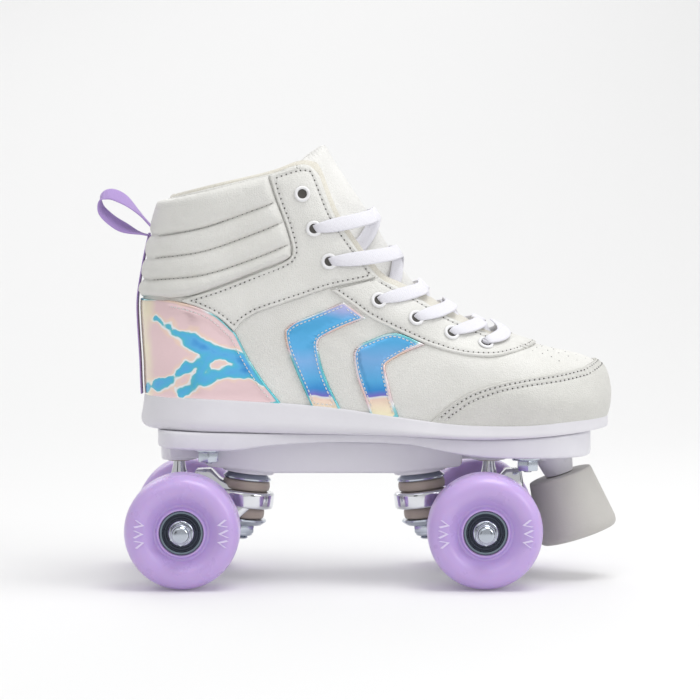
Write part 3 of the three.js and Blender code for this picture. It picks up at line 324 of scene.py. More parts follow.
def streaked(tree, place, bent, stops):
    ragged = noise(tree, place, 110.0, 1.5)["Fac"]
    shake = ranged(tree, ragged, 0.25, 0.75, -STREAK_SHAKE, STREAK_SHAKE)
    torn = maths(tree, "ADD", measured(tree, "streak_distance"), shake)
    factor = ranged(tree, torn, -STREAK_REACH, STREAK_REACH)
    body = ramp_of(tree, factor, stops)
    across = node(tree, "ShaderNodeSeparateXYZ", {"Vector": bent}).outputs["X"]
    heelward = ranged(tree, across, (SHIFT + CREAM_FROM) * MM, (SHIFT + CREAM_TO) * MM)
    return mixed(tree, maths(tree, "LESS_THAN", factor, 0.47), mixed(tree, heelward, body, CREAM), body)


def banded(tree, bent, stops):
    height = node(tree, "ShaderNodeSeparateXYZ", {"Vector": bent}).outputs["Z"]
    return ramp_of(tree, ranged(tree, height, CHEVRON_FOOT, CHEVRON_TIP), stops)


def foil(name, stops, streaks):
    """A film whose zones are slanting streaks, or, without streaks, follow each other up the piece."""
    material = look(name, SKY, 0.2, metallic=0.35, Coat_Weight=0.4, Coat_Roughness=0.06)
    tree = material.node_tree
    place = object_place(tree)
    warp = noise(tree, place, 34.0, 2.5)
    bent = nudged(tree, place, warp["Color"], 0.022 if streaks else 0.012)
    body = streaked(tree, place, bent, stops) if streaks else banded(tree, bent, stops)
    rim = maths(tree, "SUBTRACT", measured(tree, "edge_distance"), maths(tree, "MULTIPLY", warp["Fac"], 2.2))
    rim_colour = ramp_of(tree, noise(tree, place, 46.0, 0.5)["Fac"], RIM_STOPS)
    colour = mixed(tree, ranged(tree, rim, -0.2, 0.35, 1.0, 0.0), body, rim_colour)
    crinkle = noise(tree, place, 150.0, 3.0)["Fac"]
    return wired(material, colour, ranged(tree, crinkle, 0.0, 1.0, 0.1, 0.32), crinkle, 0.3, 0.0005)


HEEL_FOIL = foil("heel_foil", HEEL_STOPS, True)
CHEVRON_FOIL = foil("chevron_foil", CHEVRON_STOPS, False)

# %% [markdown]
# Woven goods show their threads. One group gives a weave from two sets of ribs at right angles, each hiding the
# other in turn. It reads the piece's own UV map, which runs in millimetres along and across the tape. The cloth is
# painted darker where the threads dip between each other, as shade.

# %% Weave group and cloths
def weave_group():
    group, source, sink = new_group("thread_weave", {"Threads": 1.6}, ("Height", "Shade"))
    uv = node(group, "ShaderNodeUVMap", uv_map="thread").outputs["UV"]
    scaled = node(group, "ShaderNodeVectorMath", {0: uv, "Scale": source.outputs["Threads"]}, operation="SCALE")
    split = node(group, "ShaderNodeSeparateXYZ", {"Vector": scaled.outputs["Vector"]})
    waves = [maths(group, "SINE", maths(group, "MULTIPLY", split.outputs[axis], math.pi)) for axis in ("X", "Y")]
    sizes = [maths(group, "ABSOLUTE", wave) for wave in waves]
    over = maths(group, "GREATER_THAN", maths(group, "MULTIPLY", *waves), 0.0)
    height = node(group, "ShaderNodeMix", {0: over, 2: sizes[0], 3: sizes[1]}, data_type="FLOAT").outputs[0]
    fuzz = noise(group, uv, 3.0, 3.0)["Fac"]
    # Shade is low where the threads dip between each other: the darker colour there is painted shade, varied by
    # random fuzz.
    return give(group, sink, Height=height, Shade=maths(group, "MULTIPLY", height, fuzz))


WEAVE = weave_group()


def woven(name, light, dark, threads, depth=0.0002):
    """Tape or lace, woven from threads that can be seen."""
    material = look(name, light, 0.85, Sheen_Weight=0.25, Sheen_Roughness=0.5)
    tree = material.node_tree
    weave = node(tree, "ShaderNodeGroup", {"Threads": threads}, node_tree=WEAVE).outputs
    # the dark colour fills the low places between the threads: painted shade
    return wired(material, mixed(tree, weave["Shade"], dark, light), None, weave["Height"], 0.7, depth)


# The second colour of each cloth is its painted shade between the threads.
LACE_CLOTH = woven("lace_cloth", (0.95, 0.95, 0.99), (0.80, 0.79, 0.86), 1.5)
TAPE_CLOTH = woven("tape_cloth", (0.62, 0.45, 0.83), (0.36, 0.23, 0.58), 1.25, depth=0.0003)


def fine_cloth(name, light, dark, scale=1400.0):
    """Brushed lining cloth, whose soft loops are too small to be drawn one by one."""
    material = look(name, light, 0.9, Sheen_Weight=0.4, Sheen_Roughness=0.45)
    tree = material.node_tree
    place = object_place(tree)
    voronoi = {"Vector": place, "Scale": scale, "Randomness": 0.7}
    loops = node(tree, "ShaderNodeTexVoronoi", voronoi).outputs["Distance"]
    patchy = maths(tree, "MULTIPLY", loops, noise(tree, place, 45.0, 4.0)["Fac"])
    return wired(material, mixed(tree, ranged(tree, patchy, 0.0, 0.4), light, dark), None, loops, 0.5, 0.0003)


LINING_CLOTH = fine_cloth("lining_cloth", (0.80, 0.78, 0.71), (0.66, 0.63, 0.55))
THREAD = fine_cloth("seam_thread", (0.84, 0.83, 0.82), (0.66, 0.65, 0.64), scale=2600.0)
print("cloths:", LACE_CLOTH.name, TAPE_CLOTH.name, LINING_CLOTH.name)

# %% [markdown]
# Moulded and cast goods differ by how their gloss breaks up. One group gives a fine moulded texture and a mask
# of edge wear. Wear comes where the surface turns sharply, which Geometry's Pointiness shows.

# %% Moulded and metal finishes
def moulded_group():
    group, source, sink = new_group("moulded_texture", {"Scale": 1500.0}, ("Height", "Patch", "Edge"))
    place = object_place(group)
    point = node(group, "ShaderNodeNewGeometry").outputs["Pointiness"]
    return give(group, sink, Height=noise(group, place, source.outputs["Scale"], 2.0)["Fac"],
                Patch=noise(group, place, 60.0, 4.0, 0.6)["Fac"],
                Edge=ranged(group, point, 0.52, 0.6, curve="SMOOTHSTEP"))


MOULDED = moulded_group()


def moulded(name, colour, dark, roughness, scale=1500.0, depth=0.00008, metallic=0.0, edge=0.0, **sockets):
    """A moulded or cast finish. edge says how bright its edges are worn."""
    material = look(name, colour, roughness, metallic, **sockets)
    tree = material.node_tree
    texture = node(tree, "ShaderNodeGroup", {"Scale": scale}, node_tree=MOULDED).outputs
    worn = tuple(min(1, c * 1.25 + 0.03) for c in colour)
    tone = mixed(tree, maths(tree, "MULTIPLY", texture["Edge"], edge), mixed(tree, texture["Patch"], dark, colour),
                 worn)
    rough = ranged(tree, texture["Patch"], 0.3, 0.7, roughness - 0.05, roughness + 0.05)
    return wired(material, tone, rough, texture["Height"], 0.4, depth)


SOLE = moulded("sole_rubber", (0.78, 0.77, 0.81), (0.70, 0.69, 0.73), 0.5, scale=900.0)
NYLON = moulded("plate_nylon", (0.77, 0.76, 0.81), (0.71, 0.70, 0.75), 0.36, scale=1100.0, edge=0.4)
URETHANE = moulded("wheel_urethane", (0.555, 0.405, 0.757), (0.53, 0.38, 0.738), 0.3, scale=1300.0,
                   Subsurface_Weight=0.12, Subsurface_Scale=0.01, Coat_Weight=0.15, Coat_Roughness=0.3)
MARK_URETHANE = moulded("cast_mark_urethane", (0.80, 0.72, 0.92), (0.72, 0.62, 0.88), 0.4, scale=1300.0)
CUSHION = moulded("cushion_urethane", (0.44, 0.37, 0.32), (0.36, 0.30, 0.26), 0.45, scale=1200.0)
RUBBER = moulded("stop_rubber", (0.54, 0.525, 0.50), (0.48, 0.465, 0.44), 0.6, scale=800.0, depth=0.00015, edge=0.3)
ZINC = moulded("zinc_plate", (0.56, 0.60, 0.66), (0.42, 0.46, 0.53), 0.2, scale=2500.0, metallic=1.0,
               depth=0.00003, edge=0.5)
CHROME = moulded("polished_casting", (0.80, 0.81, 0.84), (0.70, 0.71, 0.75), 0.12, scale=600.0, metallic=1.0,
                 depth=0.00004)
SHIELD = moulded("bearing_shield", (0.05, 0.06, 0.09), (0.03, 0.035, 0.05), 0.28, scale=2000.0, metallic=0.6,
                 depth=0.00003)
RACE = moulded("bearing_race", (0.20, 0.24, 0.28), (0.12, 0.15, 0.19), 0.14, scale=2500.0, metallic=1.0,
               depth=0.00002)
# Dark capsules and discs in this finish stand for needle holes, air holes and the eyelets' holes: painted shade in
# the holes.
HOLE_SHADE = moulded("painted_hole_shade", (0.10, 0.095, 0.09), (0.06, 0.055, 0.05), 0.9)
EYELET_PAINT = moulded("eyelet_enamel", (0.86, 0.86, 0.87), (0.78, 0.78, 0.80), 0.3, scale=2000.0, edge=0.3,
                       Coat_Weight=0.3)
print("moulded and metal finishes made")

# %% [markdown]
# ## The last
# A shoemaker stretches every piece of a boot over one solid form, the last. Here it is a formula: a place on it
# is given by an angle round the boot, from 0 at the back line to half a turn at the ridge of toe and instep, and
# a level, 0 at the sole and 1 at the collar. All work on it is done in millimetres from the datum.

# %% The last's curves
def clamp(t):
    return np.clip(t, 0.0, 1.0)


def smooth(t):
    return clamp(t) ** 2 * (3 - 2 * clamp(t))


def blend_of(a, b, t):
    return a + (b - a) * t


def spline(knots):
    """A smooth curve through rows of [parameter, value, ...], straight beyond its ends."""
    table = np.array(knots, float)
    t, v = table[:, 0], table[:, 1:]
    count = len(t)
    low, high = np.maximum(np.arange(count) - 1, 0), np.minimum(np.arange(count) + 1, count - 1)
    slope = (v[high] - v[low]) / (t[high] - t[low])[:, None]

    def at(x):
        x = np.asarray(x, float)
        i = np.clip(np.searchsorted(t, x, side="right") - 1, 0, count - 2)
        width = (t[i + 1] - t[i])[..., None]
        u = (x - t[i])[..., None] / width
        a, b, ma, mb = v[i], v[i + 1], slope[i] * width, slope[i + 1] * width
        inside = ((2 * u ** 3 - 3 * u ** 2 + 1) * a + (u ** 3 - 2 * u ** 2 + u) * ma
                  + (3 * u ** 2 - 2 * u ** 3) * b + (u ** 3 - u ** 2) * mb)
        return np.where(u < 0, a + ma * u, np.where(u > 1, b + mb * (u - 1), inside))
    return at


back_line = spline([[0, -95.5, 84.5], [0.1, -96.3, 97], [0.25, -96.9, 113.5], [0.42, -98, 132], [0.53, -98.2, 144],
                    [0.66, -96, 158.3], [0.78, -93.4, 171.5], [0.9, -90, 184.5], [1, -86.4, 195.3],
                    [1.12, -82.4, 208.5]])
front_line = spline([[0, 139.5, 81.5], [0.1, 141.6, 91], [0.18, 141.4, 100], [0.24, 137.8, 109.5],
                     [0.3, 127, 115.2], [0.36, 112, 118.7], [0.43, 94, 123.8], [0.5, 77, 131.4], [0.58, 60, 140.6],
                     [0.66, 46, 150.5], [0.76, 33.5, 167], [0.88, 20.4, 189], [1, 3, 215.5], [1.12, -9, 237]])
nose_length = spline([[0, 50], [0.12, 52], [0.26, 74], [0.36, 70], [0.5, 50], [0.7, 40], [0.85, 36], [1.12, 38]])
shaft_half_width = spline([[0, 0.47], [0.5, 0.485], [0.7, 0.465], [0.85, 0.475], [1, 0.5], [1.12, 0.505]])
HEEL_WIDTH, BALL_WIDTH, COLLAR_WIDTH, HEEL_ROUNDING = 62, 84, 67, 38


def last_point(angle, level):
    angle, level = np.broadcast_arrays(np.asarray(angle, float), np.asarray(level, float))
    back, front = back_line(level), front_line(level)
    along = (1 - np.cos(angle)) / 2
    x = blend_of(back[..., 0], front[..., 0], along)
    dip = -3.4 * np.sin(np.pi * along ** 1.6) * clamp(1 - level / 0.35) ** 2
    z = blend_of(back[..., 1], front[..., 1], along) + dip
    foot = blend_of(HEEL_WIDTH, BALL_WIDTH, smooth((x + 15) / 88)) / 2
    shaft = shaft_half_width(level)[..., 0] * COLLAR_WIDTH
    width = blend_of(foot, shaft, smooth((level - 0.12) / 0.36)) * (1 - 0.03 * clamp(1 - level / 0.1))
    length = front[..., 0] - back[..., 0]
    from_back = clamp(along * length / HEEL_ROUNDING)
    from_front = clamp((1 - along) * length / nose_length(level)[..., 0])
    blunt = blend_of(2.5, 2, smooth((level - 0.1) / 0.2))
    rounding = np.sqrt((1 - (1 - from_back) ** 2.2) * (1 - (1 - from_front) ** blunt))
    low = clamp(1 - level / 0.5)
    lean = low * (5 * smooth(x / 140) - 2 * np.exp(-((x - 5) / 35) ** 2))
    return np.stack([x, lean - np.sign(np.sin(angle)) * width * rounding, z], axis=-1)


def last_normal(angle, level):
    step = 1e-3
    across = last_point(angle + step, level) - last_point(angle - step, level)
    up = last_point(angle, level + step) - last_point(angle, level - step)
    normal = np.cross(across, up)
    return normal / np.linalg.norm(normal, axis=-1, keepdims=True)


def over_last(angle, level, offset):
    angle, level, offset = np.broadcast_arrays(*(np.asarray(v, float) for v in (angle, level, offset)))
    return last_point(angle, level) + last_normal(angle, level) * offset[..., None]


print("toe of the last", over_last(np.pi, 0.15, 0).round(1), "heel", over_last(0, 0.4, 0).round(1))

# %% [markdown]
# The patterns of the boot's pieces are drawn from the side, so each drawn place has to be found on the last.
# A first guess follows the slice that the place lies on, and a few Newton steps then correct it.

# %% From a side view to the last
def on_last(places, offset=0.0):
    """(angle, level) of side-view [x, z] places on the outer half, at an offset from the last."""
    places = np.asarray(places, float).reshape(-1, 2)
    low, high = np.zeros(len(places)), np.full(len(places), 1.12)
    for _ in range(30):
        level = (low + high) / 2
        back, front = back_line(level), front_line(level)
        line = back[:, 1] + (front[:, 1] - back[:, 1]) * (places[:, 0] - back[:, 0]) / (front[:, 0] - back[:, 0])
        low, high = np.where(line < places[:, 1], level, low), np.where(line < places[:, 1], high, level)
    back, front = back_line(level), front_line(level)
    angle = np.arccos(1 - 2 * clamp((places[:, 0] - back[:, 0]) / (front[:, 0] - back[:, 0])))
    step = 1e-4
    for _ in range(12):
        angle = np.clip(angle, 0.05, np.pi - 0.05)
        here = over_last(angle, level, offset)[:, [0, 2]]
        da = (over_last(angle + step, level, offset)[:, [0, 2]] - here) / step
        dl = (over_last(angle, level + step, offset)[:, [0, 2]] - here) / step
        miss = places - here
        area = da[:, 0] * dl[:, 1] - da[:, 1] * dl[:, 0]
        area = np.where(np.abs(area) < 50, np.sign(area) * 50 + (area == 0), area)
        angle = angle + np.clip((miss[:, 0] * dl[:, 1] - miss[:, 1] * dl[:, 0]) / area, -0.2, 0.2)
        level = np.clip(level + np.clip((da[:, 0] * miss[:, 1] - da[:, 1] * miss[:, 0]) / area, -0.05, 0.05), -0.03,
                        1.12)
    return np.stack([np.clip(angle, 0.0, np.pi), level], axis=-1)


def inner(chart):
    """The same places on the inner half of the boot, in reverse order."""
    return np.array([[2 * np.pi - a, l] for a, l in chart[::-1]])


def drawn(points, spacing=1.0, closed=False, sharp=48):
    """A smooth line through points at even steps, with a corner kept where it turns by more than sharp degrees."""
    points = np.asarray(points, float)
    count = len(points)
    corners = []
    for i in range(count):
        if not closed and i in (0, count - 1):
            corners.append(i)
            continue
        a, b = points[i] - points[i - 1], points[(i + 1) % count] - points[i]
        turn = np.degrees(np.arccos(np.clip(a @ b / (np.linalg.norm(a) * np.linalg.norm(b)), -1, 1)))
        if turn > sharp:
            corners.append(i)
    if closed and not corners:
        corners = [0]
    runs = list(zip(corners, corners[1:] + ([corners[0] + count] if closed else [])))
    line = []
    for start, end in runs:
        run = points[[i % count for i in range(start, end + 1)]]
        padded_run = np.vstack([2 * run[0] - run[1], run, 2 * run[-1] - run[-2]])
        for i in range(len(run) - 1):
            p0, p1, p2, p3 = padded_run[i:i + 4]
            steps = max(1, int(round(np.linalg.norm(p2 - p1) / spacing)))
            for k in range(steps):
                u = k / steps
                line.append(0.5 * (2 * p1 + (p2 - p0) * u + (2 * p0 - 5 * p1 + 4 * p2 - p3) * u ** 2
                                   + (3 * p1 - p0 - 3 * p2 + p3) * u ** 3))
    if not closed:
        line.append(points[-1])
    return np.array(line)


sole_top = spline([[-100, 95.3], [-66, 94.9], [-24, 92.2], [1, 90], [31, 85.9], [49, 83.4], [68, 81.6], [96, 81.2],
                   [119, 82.8], [145, 84.5]])
sole_bottom = spline([[-100, 78.4], [-49, 77.2], [3, 76.5], [31, 76], [68, 74.3], [87, 74.4], [105, 75.3],
                      [125, 77], [145, 79]])


def sole_edge(start, end, drop=1.6, offset=1.0):
    """Places on the last just under the midsole's top line, from one angle to another."""
    angle = np.linspace(start, end, max(3, int(abs(end - start) * 62)))
    low, high = np.full(len(angle), -0.03), np.full(len(angle), 0.3)
    for _ in range(24):
        level = (low + high) / 2
        point = over_last(angle, level, offset)
        below = point[:, 2] < sole_top(point[:, 0])[:, 0] - drop
        low, high = np.where(below, level, low), np.where(below, high, level)
    return np.stack([angle, level], axis=-1)


print("a chevron corner lands at", on_last([[5, 143.6]], 1.5).round(3))

# %% [markdown]
# ## Sewn pieces
# A piece of leather on the last is a patch of its surface with a thickness. Its outline is filled with an even
# grid of points, lifted off the last by a height that rises at the cut edge like rounded leather. Boxes and
# extrusions can't follow the last, so this is done in mesh code: one triangulation for outside and inside.

# %% Sewing a piece on the last
CHART = np.array([85.0, 128.0])  # roughly millimetres per unit of angle and of level


def inside_outline(points, outline):
    """True for chart points inside a closed outline."""
    x, y = points[:, 0][:, None], points[:, 1][:, None]
    x1, y1 = outline[:, 0][None], outline[:, 1][None]
    x2, y2 = np.roll(outline[:, 0], -1)[None], np.roll(outline[:, 1], -1)[None]
    crosses = ((y1 > y) != (y2 > y)) & (x < (x2 - x1) * (y - y1) / np.where(y2 == y1, 1e-12, y2 - y1) + x1)
    return crosses.sum(axis=1) % 2 == 1


def tree_of(points):
    tree = KDTree(len(points))
    for index, point in enumerate(points):
        tree.insert(point, index)
    tree.balance()
    return tree


def distance_to(points, lines):
    """Distance from each 3D point to the nearest of some dense polylines."""
    tree = tree_of([point for line in lines for point in line])
    return np.array([tree.find(p)[2] for p in points])


def dense(chart_line, offset, closed=False, spacing=0.35):
    """A chart polyline as close-set points in space."""
    line = np.vstack([chart_line, chart_line[:1]]) if closed else np.asarray(chart_line)
    places = over_last(line[:, 0], line[:, 1], offset)
    out = []
    for a, b, ca, cb in zip(places, places[1:], line, line[1:]):
        steps = max(1, int(np.linalg.norm(b - a) / spacing))
        for k in range(steps):
            c = ca + (cb - ca) * k / steps
            out.append(c)
    out.append(line[-1])
    out = np.array(out)
    return over_last(out[:, 0], out[:, 1], offset)


def beside(chart_line, distance, offset=0.5, closed=True):
    """The chart line moved sideways over the surface by a distance in millimetres, to its left."""
    line = np.asarray(chart_line)
    step = 1e-4
    here = over_last(line[:, 0], line[:, 1], offset)
    da = (over_last(line[:, 0] + step, line[:, 1], offset) - here) / step
    dl = (over_last(line[:, 0], line[:, 1] + step, offset) - here) / step
    if closed:
        along = np.roll(here, -1, axis=0) - np.roll(here, 1, axis=0)
    else:
        along = np.gradient(here, axis=0)
    normal = last_normal(line[:, 0], line[:, 1])
    left = np.cross(normal, along)
    left /= np.maximum(np.linalg.norm(left, axis=1, keepdims=True), 1e-9)
    goal = left * distance
    aa, al, ll = (da * da).sum(1), (da * dl).sum(1), (dl * dl).sum(1)
    ga, gl = (goal * da).sum(1), (goal * dl).sum(1)
    area = np.maximum(aa * ll - al * al, 1e-3 * aa * ll + 1e-6)
    return line + np.stack([(ga * ll - gl * al) / area, (gl * aa - ga * al) / area], axis=1)


def to_ridge(chart_line, level, steps=6):
    """The chart line carried on to the ridge, which it crosses square at a level."""
    a, l = chart_line[-1]
    t = np.linspace(0, 1, steps + 1)[1:]
    return np.vstack([chart_line, np.stack([a + (np.pi - a) * t, level + (l - level) * (1 - t) ** 2], axis=1)])


def signed_area(outline):
    x, y = outline[:, 0], outline[:, 1]
    return (x * np.roll(y, -1) - np.roll(x, -1) * y).sum() / 2


def mesh_object(name, points, faces, materials, shade=True):
    """A mesh from points in millimetres from the datum. Its object sits at the origin."""
    mesh = bpy.data.meshes.new(name)
    shifted = (np.asarray(points) + [SHIFT, 0, 0]) * MM
    mesh.from_pydata([tuple(p) for p in shifted], [], [tuple(int(i) for i in f) for f in faces])
    mesh.validate()
    for material in materials:
        mesh.materials.append(material)
    piece = bpy.data.objects.new(name, mesh)
    bpy.context.collection.objects.link(piece)
    if shade:
        mesh.shade_smooth()
    return piece


def sewn(name, outline, material, low, high, edge_roll=0.9, spacing=2.1, extra_lines=(), relief=None, seam=None,
         smile=0.0):
    """A piece of leather or padding. low and high are the offsets of its underside and top over the last, or
    functions of (angle, level). seam marks outline points that are no cut edge."""
    outline = np.asarray(outline, float)
    if signed_area(outline) < 0:
        outline = outline[::-1]
        seam = None if seam is None else seam[::-1]
    cut = np.ones(len(outline), bool) if seam is None else ~seam
    low_at = low if callable(low) else (lambda a, l: np.full(np.shape(a), float(low)))
    high_at = high if callable(high) else (lambda a, l: np.full(np.shape(a), float(high)))
    middle = float(np.mean(high_at(outline[:, 0], outline[:, 1])))
    # The left of an anticlockwise outline in the chart is inwards on the last's outside.
    rows = [beside(outline, d * edge_roll, middle)[cut] for d in (0.12, 0.45, 1.0)]
    rows += list(extra_lines)
    extra = np.vstack(rows) if rows else np.zeros((0, 2))
    grid_step = spacing / CHART
    a0, l0 = outline.min(axis=0)
    a1, l1 = outline.max(axis=0)
    columns, lines = np.meshgrid(np.arange(a0, a1, grid_step[0]), np.arange(l0, l1, grid_step[1] * 0.87))
    columns = columns + (np.arange(len(columns)) % 2)[:, None] * grid_step[0] / 2
    grid = np.stack([columns.ravel(), lines.ravel()], axis=1)
    extra, grid = extra[inside_outline(extra, outline)], grid[inside_outline(grid, outline)]
    edge_lines = []
    start = 0
    marks = np.append(cut, cut[0])
    ring = np.vstack([outline, outline[:1]])
    for i in range(1, len(ring)):
        if not (marks[i] and marks[i - 1]):
            if i - start > 1:
                edge_lines.append(dense(ring[start:i], middle))
            start = i
    if len(ring) - start > 1:
        edge_lines.append(dense(ring[start:], middle))
    extra_d = distance_to(over_last(extra[:, 0], extra[:, 1], middle), edge_lines)
    extra = extra[extra_d > 0.08 * edge_roll]
    # No grid point comes too near a row or the outline.
    fixed = np.vstack([outline, extra])
    tree = tree_of(over_last(fixed[:, 0], fixed[:, 1], middle))
    clear = np.array([tree.find(p)[2] > 0.55 * spacing for p in over_last(grid[:, 0], grid[:, 1], middle)])
    points = np.vstack([outline, extra, grid[clear]])
    flat = [Vector(p * CHART) for p in points]
    flat, _, faces, _, _, _ = delaunay_2d_cdt(flat, [], [list(range(len(outline)))], 1, 1e-4)
    chart = np.array([tuple(p) for p in flat]) / CHART
    used = sorted({i for face in faces for i in face})
    index = {old: new for new, old in enumerate(used)}
    chart = chart[used]
    faces = [[index[i] for i in face] for face in faces]
    a, l = chart[:, 0], chart[:, 1]
    near = distance_to(over_last(a, l, middle), edge_lines) if edge_lines else np.full(len(a), 99.0)
    rise = np.sqrt(1 - (1 - clamp(near / edge_roll)) ** 2)
    bottom, top = low_at(a, l), high_at(a, l)
    shaped = relief(chart, over_last(a, l, middle), near) if relief else 0.0
    if smile:  # both faces round towards the edge, as on a padded rim
        centre = bottom + (top - bottom) * smile
        upper_height, lower_height = centre + (top - centre) * rise + shaped, centre + (bottom - centre) * rise
    else:
        upper_height, lower_height = bottom + (top - bottom) * rise + shaped * rise, bottom
    count = len(a)
    places = np.vstack([over_last(a, l, upper_height), over_last(a, l, lower_height - 0.02)])
    edges = {}
    for face in faces:
        for i, j in zip(face, face[1:] + face[:1]):
            edges[i, j] = True
    rim = [(i, j) for i, j in edges if (j, i) not in edges]
    all_faces = faces + [[i + count for i in reversed(face)] for face in faces] + [[j, i, i + count, j + count]
                                                                                   for i, j in rim]
    piece = mesh_object(name, places, all_faces, [material])
    attribute = piece.data.attributes.new("edge_distance", "FLOAT", "POINT")
    attribute.data.foreach_set("value", np.concatenate([near, near]).astype(np.float32))
    bm = bmesh.new()
    bm.from_mesh(piece.data)
    bmesh.ops.remove_doubles(bm, verts=bm.verts, dist=0.03 * MM)
    bm.normal_update()
    bm.to_mesh(piece.data)
    bm.free()
    print(name, len(piece.data.polygons), "faces")
    return piece


def dress(piece, body, slot, *nodes):
    """Names the body that the piece rides on, and hides the nodes that it stands for. slot is not used."""
    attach(piece, body)
    if nodes:
        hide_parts(*nodes)
    return piece


def on_boot(piece, slot, *nodes):
    return dress(piece, "boot_and_plate", slot, *nodes)


def from_top_to_sole(top, sole):
    """An outline from two rows that run round the boot, and marks for the points that are no cut edge."""
    outline = np.vstack([top, sole[::-1]])
    at_back = (outline[:, 0] < 1e-6) | (outline[:, 0] > 2 * np.pi - 1e-6)
    return outline, at_back | (np.arange(len(outline)) >= len(top))

# %% [markdown]
# The upper is the vamp and quarters in one. Its top line follows the collar, dips down the throat, and comes up
# again on the inner side. Its two ends meet at the back, under the heel tape, where no edge shows.

# %% Upper
COLLAR = [[-84, 196.2], [-60, 201.5], [-32, 208], [-19, 212.6], [-12.5, 212.8], [-8, 209], [-6.7, 207]]
THROAT = [[0.5, 188], [9.8, 173.5], [22.4, 157], [32, 151.5], [43, 145.5], [55.5, 137.6], [69, 131.3], [80, 126.6]]


def back_level(z):
    levels = np.linspace(-0.02, 1.12, 400)
    return float(np.interp(z, back_line(levels)[:, 1], levels))


def ridge_level_at(x):
    levels = np.linspace(0.24, 1.12, 600)
    return float(np.interp(-x, -front_line(levels)[:, 0], levels))


top_outer = on_last(drawn(COLLAR + THROAT, 1.4), 0)
half_top = to_ridge(np.vstack([[[0.0, back_level(194.6)]], top_outer]), ridge_level_at(90))
full_top = np.vstack([half_top, inner(half_top)[1:]])
bottom_row = sole_edge(0, 2 * np.pi, drop=4, offset=0)
outline, not_cut = from_top_to_sole(full_top, bottom_row)


def creases(chart, points, near):
    """Small folds where the ankle bends, and slight unevenness all over."""
    x, y, z = points[:, 0], points[:, 1], points[:, 2]
    fold = np.exp(-((x - 8) / 26) ** 2 - ((z - 128) / 16) ** 2)
    wave = np.sin((z * 0.8 + x * 0.45) * 0.55 + 1.3 * np.sin(x * 0.11) + y * 0.05)
    broad = np.sin(x * 0.083 + 1.0) * np.sin(z * 0.107 + 0.4) + 0.6 * np.sin(x * 0.19 + z * 0.13)
    return 0.22 * fold * wave + 0.14 * broad


upper = sewn("boot_upper", outline, WHITE_LEATHER, -1.55, 0.02, 0.8, 2.3, relief=creases, seam=not_cut)
on_boot(upper, "white_leather", "upper")

# %% [markdown]
# The padded lining stands a little above the collar, like a soft bead. It is one band round the ankle that
# stops on each side of the tongue, thick where it is padded.

# %% Lining
LINING_TOP = [[-82, 197.4], [-60, 203], [-32, 209.6], [-19, 214.3], [-12, 214.5], [-7, 210.6], [1.6, 189.4],
              [10.8, 175], [23.6, 158.4], [33, 152.8], [44, 146.7], [56.2, 139], [69.6, 132.6], [80.6, 127.8]]
lining_half = to_ridge(np.vstack([[[0.0, back_level(196.2)]], on_last(drawn(LINING_TOP, 1.6), -3.4)]),
                       ridge_level_at(90))
lining_top = np.vstack([lining_half, inner(lining_half)[1:]])
floor_row = sole_edge(0, 2 * np.pi, drop=0, offset=-3)
floor_row[:, 1] = np.maximum(floor_row[:, 1], 0.055)
outline, not_cut = from_top_to_sole(lining_top, floor_row)
lining = sewn("collar_lining", outline, LINING_CLOTH, -4.9, -1.75, 2.0, 2.6, seam=not_cut, smile=0.6)
on_boot(lining, "cream_cloth", "lining")

# %% [markdown]
# The leather and foil pieces sewn on the upper are thin. Each has a pressed line where its stitches pull it down.
# The stitches are small capsules laid along that line. On leather a dark capsule at each end stands for the needle
# hole, as painted shade.

# %% Stitches
stitch_places = {"thread": [], "hole": []}


def stitch_line(chart_line, offset, pitch=2.6, pierced=True):
    """Records stitches along a chart line, at an offset over the last."""
    path = dense(chart_line, offset, spacing=0.2)
    normals_at = dense(chart_line, offset + 1, spacing=0.2)
    lengths = np.concatenate([[0], np.cumsum(np.linalg.norm(np.diff(path, axis=0), axis=1))])
    count = int(lengths[-1] / pitch)
    for k in range(count):
        start, end = (k + 0.16) * pitch, (k + 0.84) * pitch
        i, j = np.searchsorted(lengths, [start, end])
        if j >= len(path):
            break
        m = (i + j) // 2
        up = normals_at[min(m, len(normals_at) - 1)] - path[m]
        stitch_places["thread"].append((path[i], path[j], up / np.linalg.norm(up)))
        # a dark capsule at each stitch end is painted shade in its needle hole
        if pierced:
            h = min(int(np.searchsorted(lengths, (k + 1) * pitch)), len(path) - 1)
            stitch_places["hole"].append((path[h], up / np.linalg.norm(up)))


def groove_lines(chart_line):
    """Rows of points that let the mesh follow a pressed line."""
    return [beside(chart_line, d, closed=False) for d in (-1.1, -0.45, 0.45, 1.1)] + [np.asarray(chart_line)]


def pressed(lines, depth, width, extra=None):
    """A relief that sinks along lines."""
    spaced = [dense(line, 1.45) for line in lines]

    def relief(chart, points, near):
        d = distance_to(points, spaced)
        sunk = -depth * np.exp(-(d / width) ** 2)
        return sunk + (extra(chart, points, near) if extra else 0.0)
    return relief


def seamed(name, chart, material, seams, spacing=2.0, film=False, relief=None):
    """A sheet sewn down along seams that sink into it. A film is thinner than leather, and has finer stitches."""
    high, roll, press, stitch = (1.4, 0.7, 0.45, (1.1, 2.2, False)) if film else (1.45, 0.8, 0.5, (1.12, 2.6, True))
    for seam in seams:
        stitch_line(seam, *stitch)
    rows = [line for seam in seams for line in groove_lines(seam)]
    return sewn(name, chart, material, 0.1, high, roll, spacing, rows, pressed(seams, press, 0.75, relief))


print("stitch helpers ready")

# %% [markdown]
# The ankle saddle, the eyestay, the chevrons and the heel patch are cut with the outlines of the real pattern.
# Side pieces are made for the outer side and mirrored in the chart for the inner one.

